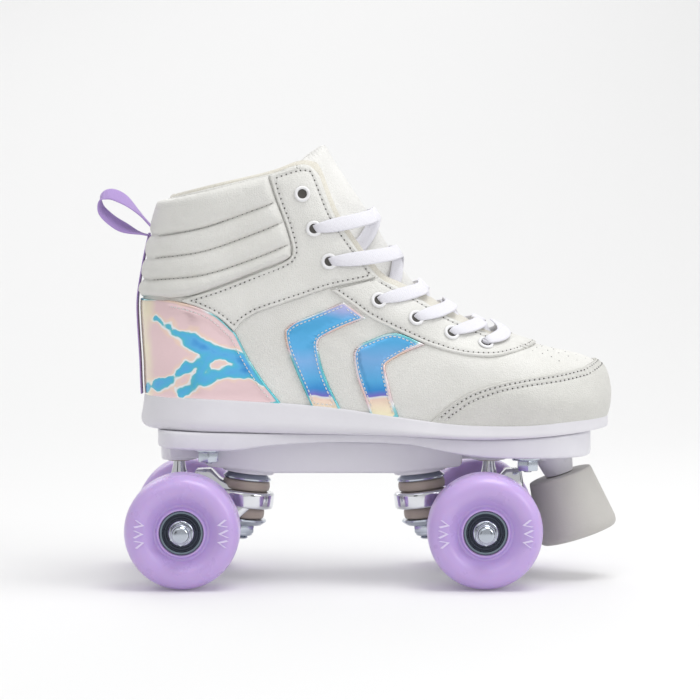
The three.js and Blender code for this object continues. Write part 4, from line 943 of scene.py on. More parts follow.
# %% Ankle panels and chevrons
ANKLE = [[-32.4, 207.2], [-19, 211.6], [-13, 211.7], [-9, 208.4], [-0.3, 187.6], [9.2, 173.2], [21.6, 156.6],
         [19, 155], [9.3, 152.8], [-2.6, 150.2], [-15.7, 145.8], [-27, 142], [-38, 138.2], [-46, 133.4],
         [-50.4, 128.2], [-54, 132.2], [-59, 136.2], [-68, 140.6], [-77.2, 143.4], [-76.6, 144.9], [-57.7, 150.9],
         [-39.7, 157.9], [-25.4, 163.6], [-21.4, 167], [-20.8, 171], [-22, 176], [-24.4, 183.8], [-28.9, 195.8]]
CHEVRONS = {
    "rear_chevron": [[5, 143.6], [-10.5, 137.2], [-20, 133.2], [-24.6, 129.4], [-24.6, 125], [-23.2, 119],
                     [-19.5, 109.5], [-15.2, 99.4], [-10.6, 89.2], [4.2, 88], [-1.6, 99.6], [-5.4, 109.2],
                     [-7.5, 118.5], [-7.6, 123.4], [-4.6, 126.4], [6.2, 131.4], [16.5, 135.3]],
    "front_chevron": [[31, 128], [17.5, 124.2], [11.4, 120.6], [9.8, 115.6], [11.7, 105.4], [16, 93.4],
                      [18.8, 85.5], [33.4, 83.6], [29.8, 94], [28, 101], [26.2, 109.2], [27, 112.8], [36.6, 118.4],
                      [46, 122.4]],
}


SHEET_TOP, PATTERN_STEP = 1.4, 1.2  # in millimetres: a sheet's top over the last, and its outline's steps


def pattern(points, closed=False):
    """A pattern's outline on the last, from the side view that it is drawn in."""
    return on_last(drawn(points, PATTERN_STEP, closed), SHEET_TOP)


def both_sides(name, slot, chart, node_stem, make):
    for side, line in (("outer", chart), ("inner", inner(chart))):
        piece = make(f"{name}_{side}", line)
        on_boot(piece, slot, f"{node_stem}_{side}")


def inset_line(chart, distance):
    """A closed seam line inside an outline, as a polyline."""
    outline = chart if signed_area(chart) > 0 else chart[::-1]
    line = beside(outline, distance, 1.0)
    place = over_last(line[:, 0], line[:, 1], 1.0)
    edge = dense(outline, 1.0, closed=True)
    return line[distance_to(place, [edge]) > distance * 0.86]


def keep_above_sole(line, margin=1.0):
    place = over_last(line[:, 0], line[:, 1], 1.5)
    return line[place[:, 2] > sole_top(place[:, 0])[:, 0] + margin]


def make_ankle(name, chart):
    return seamed(name, chart, WHITE_LEATHER, [inset_line(chart, 2.2)], 2.1, relief=creases)


def make_chevron(name, chart):
    return seamed(name, chart, CHEVRON_FOIL, [keep_above_sole(inset_line(chart, 2.0))], film=True)


both_sides("ankle_leather", "white_leather", pattern(ANKLE, True), "ankle_panel", make_ankle)
for stem, outline in CHEVRONS.items():
    both_sides(f"{stem}_foil", "iridescent_foil", pattern(outline, True), stem, make_chevron)

# %% [markdown]
# The quilted collar pads are padded between two layers and sewn through in three rows, so each channel swells
# and each row sinks. The swelling follows a half-circle between the rows, as stuffing does.

# %% Quilted collar pads
QUILT_FRONT = [[-82, 196.2], [-60, 200.5], [-33, 207], [-29.5, 196], [-25, 184], [-22.2, 175], [-21.5, 169],
               [-23.4, 165], [-40, 158.4], [-58, 151.5], [-72, 146.9], [-84, 145.2]]
QUILT_ROWS = [[[-88, 176.6], [-65.3, 181], [-39.6, 189.9], [-29.4, 193.8]],
              [[-89.8, 165.3], [-65.3, 169.1], [-39.6, 178], [-24.9, 184.1]],
              [[-91.3, 154.2], [-65.3, 157.2], [-39.6, 165.5], [-22.3, 172.6]]]
TAPE_ANGLE = 0.15
quilt_chart = np.vstack([on_last(drawn(QUILT_FRONT, 1.2), 2.4),
                         [[TAPE_ANGLE, back_level(145.1)], [TAPE_ANGLE, back_level(194.8)]]])
quilt_rows = [np.vstack([[[TAPE_ANGLE + 0.02, back_level(z)]], on_last(drawn(row, 1.2), 2.0)])
              for row, z in zip(QUILT_ROWS, (176.2, 164.9, 153.9))]


def make_quilt(name, chart):
    rows = quilt_rows if name.endswith("outer") else [inner(row) for row in quilt_rows]
    rows = [row[inside_outline(row, chart)] for row in rows]
    lines = [dense(row, 1.3) for row in rows]

    def channels(chart_points, points, near):
        d = distance_to(points, lines)
        swell = 3.4 * np.sqrt(np.clip(1 - (1 - clamp(d / 5.6)) ** 2, 0, 1)) * clamp(near / 3.5) ** 0.5
        pucker = 0.12 * np.exp(-d / 2.0) * np.sin(points[:, 0] * 1.9 + points[:, 2] * 0.4)
        return swell + pucker
    extra = [line for row in rows for line in groove_lines(row)]
    extra += [beside(row, d, 2, False) for row in rows for d in (-2.2, 2.2)]
    for row in rows:
        stitch_line(row, 1.42)
    return sewn(name, chart, WHITE_LEATHER, 0.1, 1.3, 2.4, 2.0, extra, channels)


for side, line in (("outer", quilt_chart), ("inner", inner(quilt_chart))):
    quilt = on_boot(make_quilt(f"collar_quilt_pad_{side}", line), "white_leather", f"collar_quilt_{side}")

# %% [markdown]
# Eyestay, heel patch and toe cap each wrap from one side to the other, so their outlines are the outer half
# followed by the mirrored half.

# %% Eyestay, heel patch and toe cap
EYESTAY_UPPER = [[22.9, 156.1], [32, 150.6], [43, 144.8], [55.5, 137.1], [69, 130.7], [80, 126]]
EYESTAY_LOWER = [[19.4, 154.6], [9, 152], [-1.6, 149.7], [8.9, 142.5], [18.1, 135.8], [31.5, 129.1], [44.9, 123.3],
                 [56.6, 119.5], [69.2, 117], [81.7, 116.5], [92, 118.6]]
upper_half = to_ridge(pattern(EYESTAY_UPPER), ridge_level_at(89))
lower_half = to_ridge(pattern(EYESTAY_LOWER), ridge_level_at(104), 10)
eyestay_chart = np.vstack([lower_half, inner(lower_half)[1:], inner(upper_half)[::-1], upper_half[:-1][::-1]])
lower_seam = beside(lower_half[19:], 2.2, 1.0, False)
upper_seam = beside(upper_half, -2.2, 1.0, False)
seams = [lower_seam, inner(lower_seam), upper_seam, inner(upper_seam)]
eyestay = seamed("eyestay_leather", eyestay_chart, WHITE_LEATHER, seams)
on_boot(eyestay, "white_leather", "eyestay")

HEEL_EDGE = [[-84, 144.3], [-79.3, 143.7], [-70.4, 141.6], [-60.3, 137.2], [-52.2, 130], [-49.2, 127], [-44, 116.9],
             [-39.6, 109.4], [-34.8, 102.3], [-30, 96.4], [-25.6, 90.6]]
heel_half = np.vstack([[[0.0, back_level(144.4)]], pattern(HEEL_EDGE)])
heel_mirror = heel_half[::-1] * [-1, 1]
ground = sole_edge(-heel_half[-1, 0], heel_half[-1, 0])
heel_chart = np.vstack([heel_mirror[:-1], heel_half, ground[::-1][1:-1]])
heel_seam = keep_above_sole(beside(heel_half, -3.2, 1.0, False))[2:]
STREAKS = [([[-89.6, 134.4], [-82.7, 129.5], [-71, 124.5], [-60.8, 117.9], [-50.7, 115.4], [-38, 107.5]],
            (1, 3, 4.5, 3.4, 3.6, 4.6)),
           ([[-77, 97], [-67.6, 103.4], [-57.5, 106.8], [-45.7, 109.3], [-37, 107]], (2.2, 4.4, 4.8, 4.4, 4.6)),
           ([[-60.8, 117.9], [-64.4, 114], [-68, 105]], (3.2, 3.4, 3.6)),
           ([[-95, 98.5], [-84, 104], [-76, 108.6], [-68, 112.5]], (2.6, 2.2, 2.4, 3.4)),
           ([[-80, 146.8], [-70, 143.6], [-60, 139]], (1.2, 1.8, 1.4))]


def streak_distance(points):
    """How far points lie outside the nearest slanting streak. It is negative inside."""
    nearest = np.full(len(points), 99.0)
    for path, halves in STREAKS:
        path, halves = np.array(path), np.array(halves, float)
        t = np.linspace(0, len(path) - 1, 12 * len(path))
        beads = np.stack([np.interp(t, np.arange(len(path)), path[:, i]) for i in (0, 1)], axis=1)
        reach_of = np.interp(t, np.arange(len(path)), halves)
        gaps = np.linalg.norm(points[:, None] - beads[None], axis=2) - reach_of[None]
        nearest = np.minimum(nearest, gaps.min(axis=1))
    return nearest


heel = seamed("heel_foil_patch", heel_chart, HEEL_FOIL, [heel_seam, heel_seam * [-1, 1]], film=True)
side_view = np.array([[v.co.x / MM - SHIFT, v.co.z / MM] for v in heel.data.vertices])
streaks = heel.data.attributes.new("streak_distance", "FLOAT", "POINT")
streaks.data.foreach_set("value", streak_distance(side_view).astype(np.float32))
on_boot(heel, "iridescent_foil", "heel_foil")

TOE_EDGE = [[45.5, 79.4], [48.8, 83.2], [58, 91.4], [68.4, 98.1], [82.3, 102.7], [96.2, 105.5], [114, 107.8],
            [127, 110.2]]
toe_half = to_ridge(pattern(TOE_EDGE), 0.264, 10)
toe_top = np.vstack([toe_half, inner(toe_half)[1:]])
ground = sole_edge(toe_half[0, 0], 2 * np.pi - toe_half[0, 0])
toe_chart = np.vstack([toe_top, ground[::-1][1:-1]])
toe_seams = []
for distance in (1.8, 4.6):
    line = keep_above_sole(beside(toe_half, -distance, 1.0, False))
    toe_seams += [line, inner(line)]
toe_cap = seamed("toe_cap_leather", toe_chart, GREY_LEATHER, toe_seams, 2.2)
on_boot(toe_cap, "grey_leather", "toe_cap")

# %% [markdown]
# A few air holes are punched through the vamp ahead of the eyestay, in short rows on both sides of the ridge. Each
# is drawn as a dark capsule sunk a little into the leather: painted shade in the hole.

# %% Air holes
HOLES_IN_ROW, FIRST_LEVEL, LEVEL_STEP, SPREAD = 5, 0.375, 0.024, 0.012
ROW_ANGLES = (0.16, 0.34, 0.52)  # from the ridge, the first row a little higher than the others
# The air holes are not cut: each is a dark capsule sunk a little into the vamp, painted shade where the hole is.
punched = []
for k in range(HOLES_IN_ROW):
    for row_angle in ROW_ANGLES:
        for sign in (-1, 1):
            angle = np.pi + sign * (row_angle + SPREAD * k)
            level = FIRST_LEVEL - LEVEL_STEP * k - 0.006 * (row_angle > ROW_ANGLES[0])
            punched.append((over_last(angle, level, 0.08), last_normal(angle, level)))

# %% [markdown]
# All the stitches of the boot are the same small capsule, turned and moved to each place. Joined into one mesh,
# they cost little: a capsule has twenty faces. A needle hole is a shorter, thicker capsule of a dark colour:
# painted shade in the hole.

# %% All stitches
def capsules(places, radius, sides=6):
    points, faces = [], []
    for start, end, up in places:
        along = (end - start) / max(np.linalg.norm(end - start), 1e-9)
        across = np.cross(up, along)
        middle = (start + end) / 2
        half = np.linalg.norm(end - start) / 2
        base = len(points)
        for t, r in ((-1.0, 0.35), (-0.72, 0.95), (0.72, 0.95), (1.0, 0.35)):
            sink = -0.16 * t * t
            for k in range(sides):
                angle = 2 * math.pi * k / sides
                spoke = (across * math.cos(angle) + up * math.sin(angle)) * radius * r
                points.append(middle + along * half * t + spoke + up * sink)
        for ring in range(3):
            for k in range(sides):
                n = (k + 1) % sides
                a, b = base + ring * sides, base + (ring + 1) * sides
                faces.append([a + k, b + k, b + n, a + n])
        faces.append([base + k for k in range(sides)])
        faces.append([base + 3 * sides + k for k in reversed(range(sides))])
    return points, faces


THREAD_RADIUS, HOLE_RADIUS = 0.34, 0.4
points, faces = capsules(stitch_places["thread"], THREAD_RADIUS)
on_boot(mesh_object("seam_stitches", points, faces, [THREAD]), "white_leather")
# Needle holes and air holes are dark capsules in the hole finish: painted shade in the holes.
hole_rows = []
for centre, up in stitch_places["hole"]:
    side_way = np.cross(up, [0.3, 1.0, 0.2])
    side_way /= np.linalg.norm(side_way)
    hole_rows.append((centre - side_way * 0.3 + up * 0.06, centre + side_way * 0.3 + up * 0.06, up))
HALF_HOLE = np.array([0.38, 0, 0])
hole_rows += [(centre - HALF_HOLE - up * 0.25, centre + HALF_HOLE - up * 0.25, up) for centre, up in punched]
points, faces = capsules(hole_rows, HOLE_RADIUS)
on_boot(mesh_object("needle_hole_shade", points, faces, [HOLE_SHADE]), "white_leather")
print(len(stitch_places["thread"]), "stitches")

# %% [markdown]
# ## Tongue, lace, eyelets and heel tape
# The tongue is a thick padded tab under the lace, proud along its middle and low beside the throat, where the
# lace passes under the leather. Its top stands above the collar with a soft round edge.

# %% Heights under the lace
throat_places = on_last(np.array(THROAT + [[86, 125.6]]), 0.0)
throat_order = np.argsort(throat_places[:, 1])
LACE_THICKNESS, LACE_WIDTH, LACE_CLEAR = 1.2, 7.5, 0.4
RIDGE_OFFSET = -2.7


def throat_angle(level):
    return np.interp(level, throat_places[throat_order, 1], np.pi - throat_places[throat_order, 0])


def lace_under(level):
    return blend_of(-1.6, -5.1, smooth((level - 0.56) / 0.1)) - 0.3 - LACE_THICKNESS / 2 - 2 * LACE_CLEAR


def tongue_offset(from_ridge, level):
    beside_throat = lace_under(level) - LACE_THICKNESS / 2 - 0.3 - 2 * LACE_CLEAR
    return blend_of(RIDGE_OFFSET, beside_throat, smooth(from_ridge / (0.62 * np.maximum(0.3, throat_angle(level)))))


# %% Tongue
TONGUE = [[-15, 213.5], [-12.5, 217.6], [-9, 220.6]]
TONGUE_LOW = [[-15, 213.5], [-16, 206], [-10, 186], [2, 166], [16, 152], [23, 141], [34, 133], [46, 128], [58, 123],
              [72, 118.5]]
crown = on_last(drawn(TONGUE, 1.2), -4.0)
side = on_last(drawn(TONGUE_LOW, 2.0), -5.0)
half_tongue = to_ridge(np.vstack([[[np.pi, 0.40], [np.pi - 0.3, 0.402]], side[::-1], crown[1:]]), 1.05)
tongue_chart = np.vstack([half_tongue, inner(half_tongue)[1:-1]])
tongue = sewn("tongue_pad", tongue_chart, TONGUE_LEATHER, lambda a, l: tongue_offset(np.abs(a - np.pi), l) - 4.3,
              lambda a, l: tongue_offset(np.abs(a - np.pi), l), 2.1, 2.2, smile=0.5)
on_boot(tongue, "white_leather", "tongue")

# %% [markdown]
# The lace is one flat woven ribbon. Each strand leaves an eyelet, lies over the eyestay and the tongue, and dives
# under the other side to the next eyelet. Its stations are places on the last, so it can't pass through the boot.

# %% Lace route
EYELETS = [[-15.8, 198], [-9.9, 180.5], [-2.2, 164], [22.9, 144.5], [41.8, 135.5], [59.8, 128], [77, 122.5]]
LACE_OVER = 0.3 + 1.2 + 0.3 + LACE_THICKNESS / 2 + 2 * LACE_CLEAR
LACE_IN_HOLE = 3.4
eyelet_places = [(np.pi - a, l) for a, l in on_last(EYELETS, 1.5)]


def ridge_level(place):
    levels = np.arange(0.3, 1.1, 0.002)
    return float(levels[np.argmin(np.linalg.norm(front_line(levels) - np.array(place), axis=1))])


def station(side_sign, from_ridge, level, offset, width=LACE_WIDTH):
    return [*over_last(np.pi + side_sign * from_ridge, level, offset), width]


def reach(side_sign, place, ridge, offset_at):
    angle, level = place
    count = math.ceil(angle / math.radians(10))
    out = []
    for i in range(1, count):
        t = i / count
        here, where = angle * (1 - t), blend_of(level, ridge, t)
        out.append(station(side_sign, here, where, float(offset_at(here, where))))
    return out


def lace_half(side_sign, lift):
    laced, places = EYELETS[1:], eyelet_places[1:]
    angle, level = places[0]
    rows = [station(side_sign, angle + turn, level - tuck, float(lace_under(level - tuck)), 5)
            for turn, tuck in ((0.5, 0.09), (0.25, 0.045))]

    def over(here, where):
        return blend_of(lift, LACE_OVER, clamp(1.3 * here / throat_angle(where)))

    def under(here, where):
        return tongue_offset(here, where) + LACE_THICKNESS / 2 + 0.3 + 2 * LACE_CLEAR
    for i, place in enumerate(places):
        half = -side_sign if i % 2 else side_sign
        low = float(lace_under(place[1]))
        rows.append(station(half, *place, low, LACE_IN_HOLE + 0.6))
        rows.append(station(half, *place, (low + LACE_OVER) / 2, LACE_IN_HOLE))
        rows.append(station(half, *place, LACE_OVER, LACE_IN_HOLE + 0.6))
        if i == len(places) - 1:
            break
        ridge = (ridge_level(laced[i]) + ridge_level(laced[i + 1])) / 2
        rows += reach(half, place, ridge, over) + [station(half, 0, ridge, lift)]
        rows += reach(-half, places[i + 1], ridge, under)[::-1]
    return rows


lift = RIDGE_OFFSET + LACE_THICKNESS / 2 + 0.3 + 4 * LACE_CLEAR
outer_rows = lace_half(-1, lift)
inner_rows = lace_half(1, lift + LACE_THICKNESS + LACE_CLEAR)
last_place, last_ridge = eyelet_places[-1], ridge_level(EYELETS[-1])
flat_top = LACE_OVER + 0.3
outer_rows += reach(1, last_place, last_ridge, lambda a, l: flat_top) + [station(1, 0, last_ridge, flat_top)]
outer_rows += reach(-1, last_place, last_ridge, lambda a, l: flat_top)[::-1] + [station(-1, *last_place, flat_top,
                                                                                        4)]


# %% Ribbon from stations
def ring_faces(rings, sides):
    """The quads between closed rings of points that follow each other."""
    return [[r * sides + k, r * sides + (k + 1) % sides, (r + 1) * sides + (k + 1) % sides, (r + 1) * sides + k]
            for r in range(rings - 1) for k in range(sides)]


def ribbon_mesh(rows, direction_at, thickness, steps=3, sides=10):
    """Points, faces and thread UVs of a flat ribbon with rounded edges. A row is [x, y, z, width]."""
    rows = np.array(rows)
    ends = np.vstack([2 * rows[0] - rows[1], rows, 2 * rows[-1] - rows[-2]])
    line = []
    for i in range(1, len(ends) - 2):
        p1, p2 = ends[i:i + 2]
        for k in range(steps):
            u = k / steps
            line.append(p1 + (p2 - p1) * (u * u * (3 - 2 * u) * 0.35 + u * 0.65))
    line.append(rows[-1])
    line = np.array(line)
    for _ in range(4):
        line[1:-1] = line[1:-1] * 0.5 + (line[:-2] + line[2:]) * 0.25
    tangents = np.gradient(line[:, :3], axis=0)
    tangents /= np.maximum(np.linalg.norm(tangents, axis=1, keepdims=True), 1e-9)
    length = np.concatenate([[0], np.cumsum(np.linalg.norm(np.diff(line[:, :3], axis=0), axis=1))])
    points, uvs = [], []
    for i, (row, tangent) in enumerate(zip(line, tangents)):
        guide = direction_at(row[:3])
        across = guide - tangent * (guide @ tangent)
        across /= max(np.linalg.norm(across), 1e-9)
        up = np.cross(tangent, across)
        for k in range(sides):
            angle = 2 * math.pi * (k + 0.5) / sides
            c, s = math.cos(angle), math.sin(angle)
            w = math.copysign(abs(c) ** 0.45, c) * row[3] / 2
            h = math.copysign(abs(s) ** 0.7, s) * thickness / 2
            points.append(row[:3] + across * w + up * h)
            uvs.append((length[i], w))
    faces = ring_faces(len(line), sides)
    faces.append([k for k in reversed(range(sides))])
    faces.append([(len(line) - 1) * sides + k for k in range(sides)])
    return points, faces, uvs


def ribbon_object(name, parts, material):
    points, faces, uvs = [], [], []
    for part_points, part_faces, part_uvs in parts:
        base = len(points)
        points += part_points
        uvs += part_uvs
        faces += [[i + base for i in face] for face in part_faces]
    piece = mesh_object(name, points, faces, [material])
    layer = piece.data.uv_layers.new(name="thread")
    for loop in piece.data.loops:
        layer.data[loop.index].uv = uvs[loop.vertex_index]
    deselect()
    piece.select_set(True)
    bpy.context.view_layer.objects.active = piece
    bpy.ops.object.mode_set(mode="EDIT")
    bpy.ops.mesh.select_all(action="SELECT")
    bpy.ops.mesh.normals_make_consistent(inside=False)
    bpy.ops.object.mode_set(mode="OBJECT")
    return piece


def throat_direction(point):
    levels = np.linspace(0.34, 1.1, 200)
    line = front_line(levels)
    level = max(0.38, levels[np.argmin(np.linalg.norm(line - point[[0, 2]], axis=1))])
    low, high = front_line(level - 0.04), front_line(level + 0.04)
    way = np.array([high[0] - low[0], 0, high[1] - low[1]])
    return way / np.linalg.norm(way)


strands = [ribbon_mesh(rows, throat_direction, LACE_THICKNESS) for rows in (outer_rows, inner_rows)]
lace = ribbon_object("flat_lace", strands, LACE_CLOTH)
on_boot(lace, "white_lace", "lace")
print("lace faces", len(lace.data.polygons))

# %% [markdown]
# The heel tape runs up the back seam and turns into a pull loop. It is the same kind of ribbon, seen edge-on.

# %% Heel tape and loop
TAPE_WIDTH, TAPE_THICKNESS = 11, 1.0
tape_rows = [[*over_last(0.0, level, 2.9), TAPE_WIDTH] for level in np.linspace(0.085, 0.83, 26)]
for row in tape_rows:
    row[1] = 0.0
LOOP = [[-93.5, 176], [-103, 178.4], [-112.5, 182.8], [-119.6, 189.5], [-120.2, 195.8], [-115.6, 198],
        [-108.5, 195.2], [-101, 188.6], [-93.6, 180.6]]
loop_rows = [[x, 0.0, z, TAPE_WIDTH] for x, z in drawn(LOOP, 2.2)]


def sideways_only(point):
    return np.array([0.0, 1.0, 0.0])


def leaning(point):
    """The loop leans over, so that its breadth shows from the side."""
    lean = 0.55 * smooth((-97 - point[0]) / 14)
    way = np.array([0.2 * lean, 1.0, lean])
    return way / np.linalg.norm(way)


tape = ribbon_object("heel_tape_strip", [ribbon_mesh(tape_rows, sideways_only, TAPE_THICKNESS, 2, 12),
                                         ribbon_mesh(loop_rows, leaning, TAPE_THICKNESS, 2, 12)], TAPE_CLOTH)
on_boot(tape, "lilac_tape", "heel_tape")
print("tape faces", len(tape.data.polygons))

# %% [markdown]
# ## Turned pieces
# A lathe part is a ring that is extruded and scaled again and again along its profile. One helper does that with
# Blender's own circle, extrude, translate and resize tools, and serves the eyelets, wheels, bearings and bolts.

# %% Turning helper
def edit(piece):
    deselect()
    piece.select_set(True)
    bpy.context.view_layer.objects.active = piece
    bpy.ops.object.mode_set(mode="EDIT")


def finish_edit(piece, smooth_angle=38, inside=False):
    bpy.ops.mesh.select_all(action="SELECT")
    bpy.ops.mesh.remove_doubles(threshold=0.004 * MM)
    bpy.ops.mesh.normals_make_consistent(inside=inside)
    bpy.ops.object.mode_set(mode="OBJECT")
    if smooth_angle:
        bpy.ops.object.shade_smooth_by_angle(angle=math.radians(smooth_angle))
    return piece


def turned(name, profile, sides, materials, hollow=False):
    """A turned piece about +Z at the origin, from [radius, height] pairs in mm. A hollow profile is closed."""
    deselect()
    radius, height = profile[0]
    bpy.ops.mesh.primitive_circle_add(vertices=sides, radius=radius * MM, fill_type="NOTHING" if hollow else "NGON",
                                      location=(0, 0, 0))
    piece = bpy.context.object
    piece.name = name
    edit(piece)
    bpy.ops.mesh.select_mode(type="EDGE" if hollow else "FACE")
    bpy.ops.mesh.select_all(action="SELECT")
    bpy.ops.transform.translate(value=(0, 0, height * MM))
    rows = list(profile[1:]) + ([profile[0]] if hollow else [])
    for next_radius, next_height in rows:
        bpy.ops.mesh.extrude_region_move(TRANSFORM_OT_translate={"value": (0, 0, (next_height - height) * MM)})
        scale = next_radius / radius
        if abs(scale - 1) > 1e-6:
            bpy.ops.transform.resize(value=(scale, scale, 1), center_override=(0, 0, next_height * MM))
        radius, height = next_radius, next_height
    finish_edit(piece)
    for material in materials:
        piece.data.materials.append(material)
    return piece


def put(piece, matrix):
    """Moves the mesh, not the object, to its place. The matrix is in millimetres from the datum."""
    into = Matrix.Translation((SHIFT * MM, 0, 0)) @ Matrix.Scale(MM, 4) @ matrix @ Matrix.Scale(1 / MM, 4)
    piece.data.transform(into)
    piece.data.update()
    return piece


def joined(name, pieces):
    deselect()
    for piece in pieces:
        piece.select_set(True)
    bpy.context.view_layer.objects.active = pieces[0]
    bpy.ops.object.join()
    pieces[0].name = name
    pieces[0].data.name = name
    return pieces[0]


def copy_of(piece, name):
    twin = piece.copy()
    twin.data = piece.data.copy()
    twin.name = name
    bpy.context.collection.objects.link(twin)
    return twin


def arc(centre, radius, start, end, count):
    """Profile points on an arc, angles in degrees from +radius towards +height."""
    angles = np.radians(np.linspace(start, end, count))
    return [(centre[0] + radius * math.cos(a), centre[1] + radius * math.sin(a)) for a in angles]


# %% Eyelets
EYELET_PROFILE = [(3.9, 0)] + arc((3.25, 0.15), 0.85, 0, 180, 7) + [(2.35, -0.2)]
model_eyelet = turned("eyelet_model", EYELET_PROFILE, 20, [EYELET_PAINT, HOLE_SHADE])
# The faces in the middle of the eyelet take the dark hole finish: painted shade in the eyelet's hole.
for face in model_eyelet.data.polygons:
    if math.hypot(face.center.x, face.center.y) < 1.9 * MM and face.center.z < 0.1 * MM:
        face.material_index = 1
rings = []
for sign in (-1, 1):
    for k, (from_ridge, level) in enumerate(eyelet_places):
        angle = np.pi + sign * from_ridge
        centre, normal = over_last(angle, level, 1.55), last_normal(angle, level)
        turn = Vector(normal).to_track_quat("Z", "Y").to_matrix().to_4x4()
        ring = copy_of(model_eyelet, f"eyelet_{k}_{'outer' if sign < 0 else 'inner'}")
        rings.append(put(ring, Matrix.Translation(centre) @ turn))
bpy.data.objects.remove(model_eyelet)
on_boot(joined("eyelet_rings", rings), "white_leather")
print("eyelets", len(rings))

# %% [markdown]
# ## Midsole
# The midsole is a moulded cup with a soft roll at its foot. Its top line dips from heel to toe, and its plan
# follows the last, so its rings of points are laid out from the last's lowest slice.

# %% Midsole
SOLE_SIDES, LOWEST_SLICE = 144, 0.03
around = np.linspace(0, 2 * np.pi, SOLE_SIDES + 1)[:-1]
base = last_point(around, LOWEST_SLICE)
outward = last_normal(around, LOWEST_SLICE)
outward[:, 2] = 0
outward /= np.linalg.norm(outward, axis=1, keepdims=True)
toe_part = smooth((base[:, 0] - 60) / 70)
low_line, high_line = sole_bottom(base[:, 0])[:, 0], sole_top(base[:, 0])[:, 0]
SOLE_PROFILE = [(0.0, -6.0), (0.0, 0.4), (0.03, 1.6), (0.09, 2.7), (0.17, 3.4), (0.26, 3.7), (0.38, 3.5),
                (0.55, 2.9), (0.75, 2.4), (0.9, 2.1), (0.97, 1.95), (1.0, 1.5), (1.0, 0.6), (0.97, -0.6),
                (0.6, -3.0)]
sole_rows = []
for t, spread in SOLE_PROFILE:
    wide = blend_of(spread, min(spread, 1.2 + 0.1 * spread), toe_part)[:, None]
    row = base + outward * wide
    row[:, 2] = low_line + (high_line - low_line) * t
    sole_rows.append(row)
count = len(around)
points = np.vstack(sole_rows)
faces = ring_faces(len(sole_rows), count)
last_row = (len(sole_rows) - 1) * count
half = count // 2
for k in range(half):
    a, b, c, d = k, k + 1, (count - k - 1) % count, (count - k) % count
    faces.append(list(dict.fromkeys((a, d, c, b))))
    faces.append([last_row + i for i in dict.fromkeys((a, b, c, d))])
midsole = mesh_object("midsole_cup", points, faces, [SOLE])
edit(midsole)
finish_edit(midsole, 60)
on_boot(midsole, "white_sole", "midsole")
print("midsole faces", len(midsole.data.polygons))

# %% [markdown]
# ## Plate
# The nylon plate is a flange under the whole sole with a deep beam below it, a seat for each kingpin, a socket
# for each pivot and a boss for the toe stop. The flange is cut from its plan, bisected into strips and bent.

# %% Side prisms and the flange
def extruded(name, points, faces, push, material, bevel=0.0):
    """Flat faces pushed into a solid, which may have rounded edges. It is left in edit mode."""
    mesh = bpy.data.meshes.new(name)
    mesh.from_pydata(points, [], faces)
    piece = bpy.data.objects.new(name, mesh)
    bpy.context.collection.objects.link(piece)
    mesh.materials.append(material)
    edit(piece)
    bpy.ops.mesh.select_mode(type="FACE")
    bpy.ops.mesh.select_all(action="SELECT")
    bpy.ops.mesh.extrude_region_move(TRANSFORM_OT_translate={"value": push})
    bpy.ops.mesh.select_all(action="SELECT")
    bpy.ops.mesh.normals_make_consistent(inside=False)
    if bevel:
        bpy.ops.mesh.bevel(offset=bevel * MM, segments=3, affect="EDGES", clamp_overlap=True)
    return piece


def prism(name, outline, low, high, bevel, material):
    """A side-view outline of [x, z], extruded from y = low to y = high, with rounded edges."""
    points = [((x + SHIFT) * MM, low * MM, z * MM) for x, z in outline]
    push = (0, (high - low) * MM, 0)
    return finish_edit(extruded(name, points, [list(range(len(outline)))], push, material, bevel), 50)


flange_bottom = spline([[-92, 69.2], [-54, 68], [-31, 70.6], [3, 72.1], [40, 70.8], [55, 68], [68.5, 65.7],
                        [82, 64.6], [135, 64.2]])
PLATE_PLAN = [[-90.7, 0], [-90.2, 12], [-88.6, 22], [-83, 30], [-70, 33], [-45, 33], [-10, 29.2], [30, 30],
              [60, 36], [95, 37], [115, 33], [126, 24.5], [131, 13], [132.6, 0]]
half_plan = drawn(PLATE_PLAN, 3.0, sharp=80)
plan = np.vstack([half_plan, [[x, -y] for x, y in half_plan[1:-1][::-1]]])
FLANGE_STEP = 8.0  # its height before it is bent
flange = extruded("flange", [((x + SHIFT) * MM, y * MM, 0) for x, y in plan], [list(range(len(plan)))],
                  (0, 0, FLANGE_STEP * MM), NYLON, 1.3)
for x in np.arange(-86, 131, 6.0):
    bpy.ops.mesh.select_all(action="SELECT")
    bpy.ops.mesh.bisect(plane_co=((x + SHIFT) * MM, 0, 0), plane_no=(1, 0, 0))
bpy.ops.object.mode_set(mode="OBJECT")
for vertex in flange.data.vertices:
    x = vertex.co.x / MM - SHIFT
    low_z, high_z = float(flange_bottom(x)[0]), float(sole_bottom(x)[0]) - 0.3
    vertex.co.z = (low_z + (high_z - low_z) * vertex.co.z / MM / FLANGE_STEP) * MM
edit(flange)
finish_edit(flange, 50)

# %% Beam, bosses and sockets
KINGPIN_X, KINGPIN_SEAT, KINGPIN_TILT = WHEELBASE / 2 - 31.5, 54.3, math.radians(7)
PIVOT_X, PIVOT_HEIGHT = WHEELBASE / 2 + 4, 63
STOP_X, STOP_TOP, STOP_TILT = WHEELBASE / 2 + 40.7, 53.1, math.radians(18)
ENDS = (("front", 1), ("rear", -1))


def tilted(x, z, tilt, end=1):
    turn = Matrix.Rotation(0 if end > 0 else math.pi, 4, "Z")
    return turn @ Matrix.Translation((x, 0, z)) @ Matrix.Rotation(-tilt, 4, "Y")


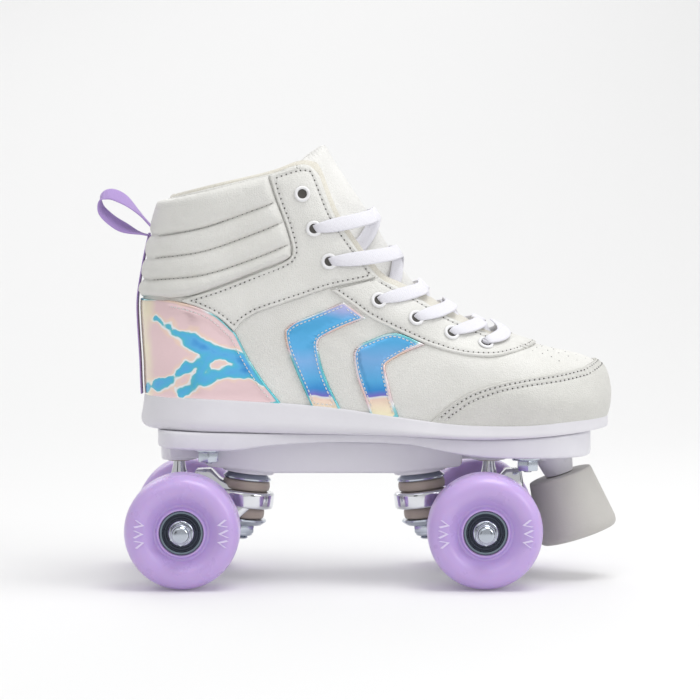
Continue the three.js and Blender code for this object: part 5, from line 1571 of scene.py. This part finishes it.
plate_pieces = [flange]
plate_pieces.append(prism("beam_middle", [[-66, 74], [-65.5, 58.6], [-34, 55], [34, 55], [65.5, 58.6], [66, 70]],
                          -17, 17, 2.2, NYLON))
plate_pieces.append(prism("beam_rear", [[-86, 74], [-84.5, 62.2], [-60, 62], [-60, 74]], -11, 11, 1.6, NYLON))
plate_pieces.append(prism("beam_front", [[60, 70], [60, 62], [96, 62], [113, 64.4], [113, 70]], -11, 11, 1.2,
                          NYLON))
for end_name, end in ENDS:
    boss = turned(f"boss_{end_name}", [(13.0, 0.1), (13.6, 0.8), (13.9, 4), (14.6, 16)], 48, [NYLON])
    plate_pieces.append(put(boss, tilted(KINGPIN_X, KINGPIN_SEAT, KINGPIN_TILT, end)))
    socket = turned(f"socket_{end_name}", [(6.6, -1.8), (8.6, -2), (9.1, -1.4), (9.6, 8)], 40, [NYLON])
    plate_pieces.append(put(socket, tilted(PIVOT_X, PIVOT_HEIGHT, 0, end)))
stop_boss = turned("stop_boss", [(6.4, 0.35), (7.2, 0.6), (8.0, 3), (9.2, 8), (10.5, 16)], 40, [NYLON])
plate_pieces.append(put(stop_boss, tilted(STOP_X, STOP_TOP, STOP_TILT)))
for y in (-14, 14):
    rib = [[88, 66], [90, 63.2], [108, 60.5], [119, 60.5], [124, 66]]
    plate_pieces.append(prism(f"stop_rib_{y}", rib, y * 0.5 - 1.2, y * 0.5 + 1.2, 0.5, NYLON))
plate = on_boot(joined("nylon_plate", plate_pieces), "white_nylon", "plate")
print("plate faces", len(plate.data.polygons))

# %% [markdown]
# ## Nuts, bolts and threads
# A thread that is only a few millimetres long reads as a stack of fine ridges. A lock nut is a hexagon with its
# corners turned off and a round collar on top.

# %% Bolts and nuts
def thread(radius, low, high, pitch=1.0):
    """Ridged profile points, upwards, with a chamfer at each end."""
    rows = [(radius * 0.72, low), (radius * 0.9, low + 0.35)]
    steps = int((high - low - 0.7) / pitch)
    for k in range(steps):
        z = low + 0.35 + (k + 0.5) * pitch
        rows += [(radius, z), (radius * 0.9, z + pitch / 2)]
    return rows + [(radius * 0.9, high)]


def lock_nut(name, flats, low, high, hole, material, collar=True):
    """A hexagon from low to high with a collar at its high end."""
    deselect()
    body_high = high - (1.6 if collar else 0)
    bpy.ops.mesh.primitive_cylinder_add(vertices=6, radius=flats / math.sqrt(3) * MM, depth=(body_high - low) * MM,
                                        location=(0, 0, 0), end_fill_type="NGON")
    body = bpy.context.object
    edit(body)
    bpy.ops.mesh.select_all(action="SELECT")
    bpy.ops.transform.translate(value=(0, 0, (low + body_high) / 2 * MM))
    bpy.ops.mesh.bevel(offset=0.45 * MM, segments=2, affect="EDGES")
    finish_edit(body, 30)
    body.data.materials.append(material)
    parts = [body]
    if collar:
        r = flats * 0.46
        rows = [(hole, body_high - 0.5), (r, body_high - 0.5), (r, high - 0.7), (r * 0.96, high - 0.25),
                (r * 0.88, high), (hole + 0.5, high), (hole, high - 0.5)]
        parts.append(turned(name + "_collar", rows, 32, [material], True))
    return joined(name, parts)


BOLT_PLACES = {"rear": (-64, 19.5), "front": (98.5, 27)}
SIDES = (("outer", -1), ("inner", 1))
SOLE_BACK, SOLE_FRONT = -95.5, 139.5
for where, (x, y_size) in BOLT_PLACES.items():
    for side, sign in SIDES:
        nut_top = float(flange_bottom(x)[0]) - 0.3
        along = math.acos(1 - 2 * (x - SOLE_BACK) / (SOLE_FRONT - SOLE_BACK))
        head = float(last_point(along, 0.0)[2]) + 2.3
        rod = turned("sole_bolt_rod", thread(2.5, nut_top - 7.2, nut_top - 1, 0.8) + [(2.4, head)], 20, [ZINC])
        head_disc = turned("sole_bolt_head", [(6, head), (6, head + 1.0), (5.2, head + 1.6)], 28, [ZINC])
        washer_rows = [(3, nut_top - 1), (6.1, nut_top - 1), (6.3, nut_top - 0.8), (6.3, nut_top - 0.1),
                       (3, nut_top)]
        washer = turned("sole_washer", washer_rows, 32, [ZINC])
        nut = lock_nut("sole_nut", 10, nut_top - 6.4, nut_top - 1, 2.4, ZINC, collar=False)
        bolt = joined(f"sole_bolt_set_{where}_{side}", [rod, head_disc, washer, nut])
        on_boot(put(bolt, Matrix.Translation((x, sign * y_size, 0))), "zinc_steel", f"sole_bolt_{where}_{side}")

# %% [markdown]
# ## Trucks
# Each truck hangs on its kingpin between two urethane cushions, and its pivot arm sits in a cup in the plate.
# The hanger is one bright casting: a ring between the cushions, a web, an axle tube and the pivot arm.

# %% Hanger and stack
for end_name, end in ENDS:
    turn = Matrix.Rotation(0 if end > 0 else math.pi, 4, "Z")
    truck = turn @ Matrix.Translation((WHEELBASE / 2, 0, AXLE_Z))
    stack = tilted(KINGPIN_X, KINGPIN_SEAT, KINGPIN_TILT, end)
    ring = turned("hanger_ring", [(5.4, -17.7), (13.4, -17.7), (14.4, -17.4), (14.9, -16.7), (15.0, -15.8),
                                  (15.0, -11), (14.9, -10.1), (14.4, -9.4), (13.4, -9.1), (5.4, -9.1)], 64,
                  [CHROME], True)
    put(ring, stack)
    web = prism("hanger_web", [[-24 - SHIFT, 8.4], [-12 - SHIFT, 2], [-7 - SHIFT, -7], [7 - SHIFT, -7],
                               [9.5 - SHIFT, 2], [9 - SHIFT, 20], [8 - SHIFT, 27], [0 - SHIFT, 27],
                               [-5 - SHIFT, 22], [-15 - SHIFT, 16.2], [-24 - SHIFT, 14.8]],
                -7.5, 7.5, 1.3, CHROME)
    wings = prism("hanger_wings", [[-22 - SHIFT, 9], [-8 - SHIFT, -4], [0 - SHIFT, -8], [1 - SHIFT, 8],
                                   [-20 - SHIFT, 14]], -14, 14, 1.6, CHROME)
    # Known fault: the shift taken off here is put's own, so web and wings stand 12.6 mm too far towards the toe.
    for piece in (web, wings):
        put(piece, Matrix.Translation((-SHIFT, 0, 0)) @ truck)
    tube = turned("hanger_tube", [(4.4, -31.7), (5.2, -31.7), (5.8, -31.2), (5.9, -27.5), (7.4, -25), (9.2, -22),
                                  (9.4, -20), (9.4, 20), (9.2, 22), (7.4, 25), (5.9, 27.5), (5.8, 31.2),
                                  (5.2, 31.7), (4.4, 31.7)], 48, [CHROME], True)
    put(tube, truck @ Matrix.Rotation(math.radians(90), 4, "X"))
    neck = turned("hanger_neck", [(4.6, 22), (3.9, 26), (3.2, 29), (3.0, 31.5)] + arc((0, 34), 4, -50, 75, 8), 32,
                  [CHROME])
    put(neck, truck @ Matrix.Translation((4, 0, 0)))
    hanger = joined(f"{end_name}_hanger_casting", [ring, web, wings, tube, neck])
    dress(hanger, f"{end_name}_truck", "polished_metal", f"{end_name}_truck_hanger")

    threaded = thread(3.98, -66, -48, 0.9)
    axle_rows = threaded + [(3.98, -47.5), (3.98, 47.5)] + [(r, -z) for r, z in reversed(threaded)]
    axle = put(turned(f"{end_name}_axle_rod", axle_rows, 28, [ZINC]),
               truck @ Matrix.Rotation(math.radians(90), 4, "X"))
    dress(axle, f"{end_name}_truck", "zinc_steel", f"{end_name}_axle")

    cups = {
        "upper_washer": [(4.4, -3.5), (12.1, -3.5), (12.35, -3.2), (12.35, -2.6), (11.9, -2.1), (10.9, -1.3),
                         (9.9, -0.5), (9.3, -0.3), (4.4, -0.3)],
        "lower_washer": [(4.4, -26.9), (9.3, -26.9), (9.9, -26.7), (10.9, -25.9), (11.9, -25.1), (12.35, -24.6),
                         (12.35, -24), (12.1, -23.7), (4.4, -23.7)],
    }
    for part, rows in cups.items():
        cup = put(turned(f"{end_name}_{part}_cup", rows, 56, [ZINC], True), stack)
        on_boot(cup, "zinc_steel", f"{end_name}_{part}")

    for part, radius, low, high in (("upper_cushion", 12, -8.8, -3.8), ("lower_cushion", 10.8, -23.4, -18)):
        rows = [(4.35, low), (radius - 0.9, low), (radius - 0.3, low + 0.4), (radius, low + 1.2),
                (radius + 0.15, (low + high) / 2), (radius, high - 1.2), (radius - 0.3, high - 0.4),
                (radius - 0.9, high), (4.35, high)]
        cushion = put(turned(f"{end_name}_{part}_ring", rows, 56, [CUSHION], True), stack)
        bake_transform(cushion)
        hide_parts(f"{end_name}_{part}")
    pin = turned(f"{end_name}_kingpin_bolt", thread(4, -34.7, -24) + [(3.95, 10), (7, 10), (7, 15)], 28, [ZINC])
    on_boot(put(pin, stack), "zinc_steel", f"{end_name}_kingpin")
    nut = lock_nut(f"{end_name}_kingpin_lock_nut", 13, 27.2, 32.7, 4.0, ZINC)
    on_boot(put(nut, stack @ Matrix.Rotation(math.pi, 4, "X")), "zinc_steel", f"{end_name}_kingpin_nut")

# %% [markdown]
# ## Wheels and bearings
# A wheel is cast urethane: a round shoulder, a gently dished face and a raised lip round the bearing. Small
# plain arrowheads are cast on the face. One wheel is made, and each of the four gets its own copy.

# %% Wheel
side_rows = [(8, 5), (11.15, 5), (11.15, 12.9), (11.45, 13.35), (12.0, 13.35), (12.4, 12.3), (13.0, 11.3),
             (14.1, 11.1), (15.6, 12.1), (17.3, 13.9), (19.2, 15.3), (21.5, 15.9), (23.6, 15.8), (25.4, 15.1),
             (26.9, 13.7), (28.0, 11.7), (28.7, 9.3), (28.98, 7.0), (29.0, 5.0)]
wheel_rows = [(r, -h) for r, h in side_rows] + [(r, h) for r, h in reversed(side_rows)]
model_wheel = turned("wheel_model", wheel_rows, 80, [URETHANE], True)
marks = []
ARM = 1.7
ARROWHEAD = [(-2.6, -ARM), (1.2, -0.1), (-2.6, ARM), (-1.5, ARM + 0.5), (2.7, 0.1), (-1.5, -ARM - 0.1)]
MARK_SEAT, MARK_HEIGHT, MARK_RADIUS, MARK_STEP = 15.3, 0.98, 21.3, 13
for side_angle in (180, 0):
    for k in (-1, 0, 1):
        mark = extruded("arrowhead", [(-x * MM, y * MM, MARK_SEAT * MM) for x, y in ARROWHEAD],
                        [[0, 1, 4, 5], [1, 2, 3, 4]], (0, 0, MARK_HEIGHT * MM), MARK_URETHANE)
        bpy.ops.object.mode_set(mode="OBJECT")
        spin = Matrix.Rotation(math.radians(side_angle + k * MARK_STEP), 4, "Z")
        mark.data.transform(spin @ Matrix.Translation((MARK_RADIUS * MM, 0, 0)))
        marks.append(mark)
model_wheel = joined("wheel_model", [model_wheel] + marks)

bearing_rows = [(4.3, 5), (11, 5), (11, 11.7), (10.75, 12), (9.75, 12), (9.5, 11.75), (9.4, 11.45), (8.9, 11.45),
                (8.7, 11.65), (8.5, 11.45), (7.7, 11.45), (7.5, 11.65), (7.3, 11.45), (6.5, 11.45), (6.35, 11.75),
                (6.1, 12), (4.7, 12), (4.3, 11.8)]
model_bearing = turned("bearing_model", bearing_rows, 56, [RACE, SHIELD], True)
for face in model_bearing.data.polygons:
    radius = math.hypot(face.center.x, face.center.y) / MM
    face.material_index = 1 if 6.4 < radius < 9.5 and face.center.z > 9 * MM else 0
nut_washer = turned("axle_washer", [(4.2, 12.3), (6.4, 12.3), (6.5, 12.6), (6.2, 13.2), (5.6, 13.5), (4.2, 13.5)],
                    36, [ZINC], True)
model_nut = joined("axle_nut_model", [lock_nut("axle_hexagon", 10.6, 13.2, 19.3, 4.0, ZINC), nut_washer])

for end_name, end in ENDS:
    for half, sign in SIDES:
        middle = Matrix.Translation((end * WHEELBASE / 2, sign * TRACK_Y, AXLE_Z))
        outwards = middle @ Matrix.Rotation(math.radians(90 if sign < 0 else -90), 4, "X")
        inwards = middle @ Matrix.Rotation(math.radians(-90 if sign < 0 else 90), 4, "X")
        upright = outwards @ Matrix.Rotation(math.pi if sign > 0 else 0, 4, "Z")
        body = f"{end_name}_wheel_{half}_rolling"
        wheel = put(copy_of(model_wheel, f"{end_name}_wheel_{half}_cast"), upright)
        dress(wheel, body, "lilac_urethane", f"{end_name}_wheel_{half}")
        for place, way in (("outside", outwards), ("inside", inwards)):
            bearing = put(copy_of(model_bearing, f"{end_name}_{half}_{place}_ball_bearing"), way)
            dress(bearing, body, "bearing_steel", f"{end_name}_bearing_{half}_{place}")
        nut = put(copy_of(model_nut, f"{end_name}_axle_lock_nut_{half}"), outwards)
        dress(nut, f"{end_name}_truck", "zinc_steel", f"{end_name}_axle_nut_{half}")
for model in (model_wheel, model_bearing, model_nut):
    bpy.data.objects.remove(model)
print("wheels and bearings placed")

# %% [markdown]
# ## Toe stop and what stays from the frame
# The toe stop is a solid rubber cone with a rounded foot. The few pieces that are all but hidden keep their
# plain solids, with the finish of their real material.

# %% Toe stop
stop_rows = [(5, 0), (15.6, 0), (16.2, -0.2), (16.5, -0.6), (16.7, -1.4), (18.6, -14), (20.3, -25.4), (20.7, -28.5),
             (20.6, -30.6), (20.0, -32), (19.2, -32.7), (17.8, -33), (12, -33)]
toe_stop = put(turned("toe_stop_block", stop_rows, 72, [RUBBER]), tilted(STOP_X, STOP_TOP, STOP_TILT))
dress(toe_stop, "toe_stop_set", "grey_rubber", "toe_stop")

KEPT = {"insole": LINING_CLOTH, "toe_stop_stem": ZINC, "toe_stop_nut": ZINC, "front_pivot_cup": CUSHION,
        "rear_pivot_cup": CUSHION}
for node_name, material in KEPT.items():
    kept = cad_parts[node_name]
    if not kept.material_slots:
        kept.data.materials.append(material)
    for material_slot in kept.material_slots:
        material_slot.material = material
print("kept from the frame:", sorted(KEPT))
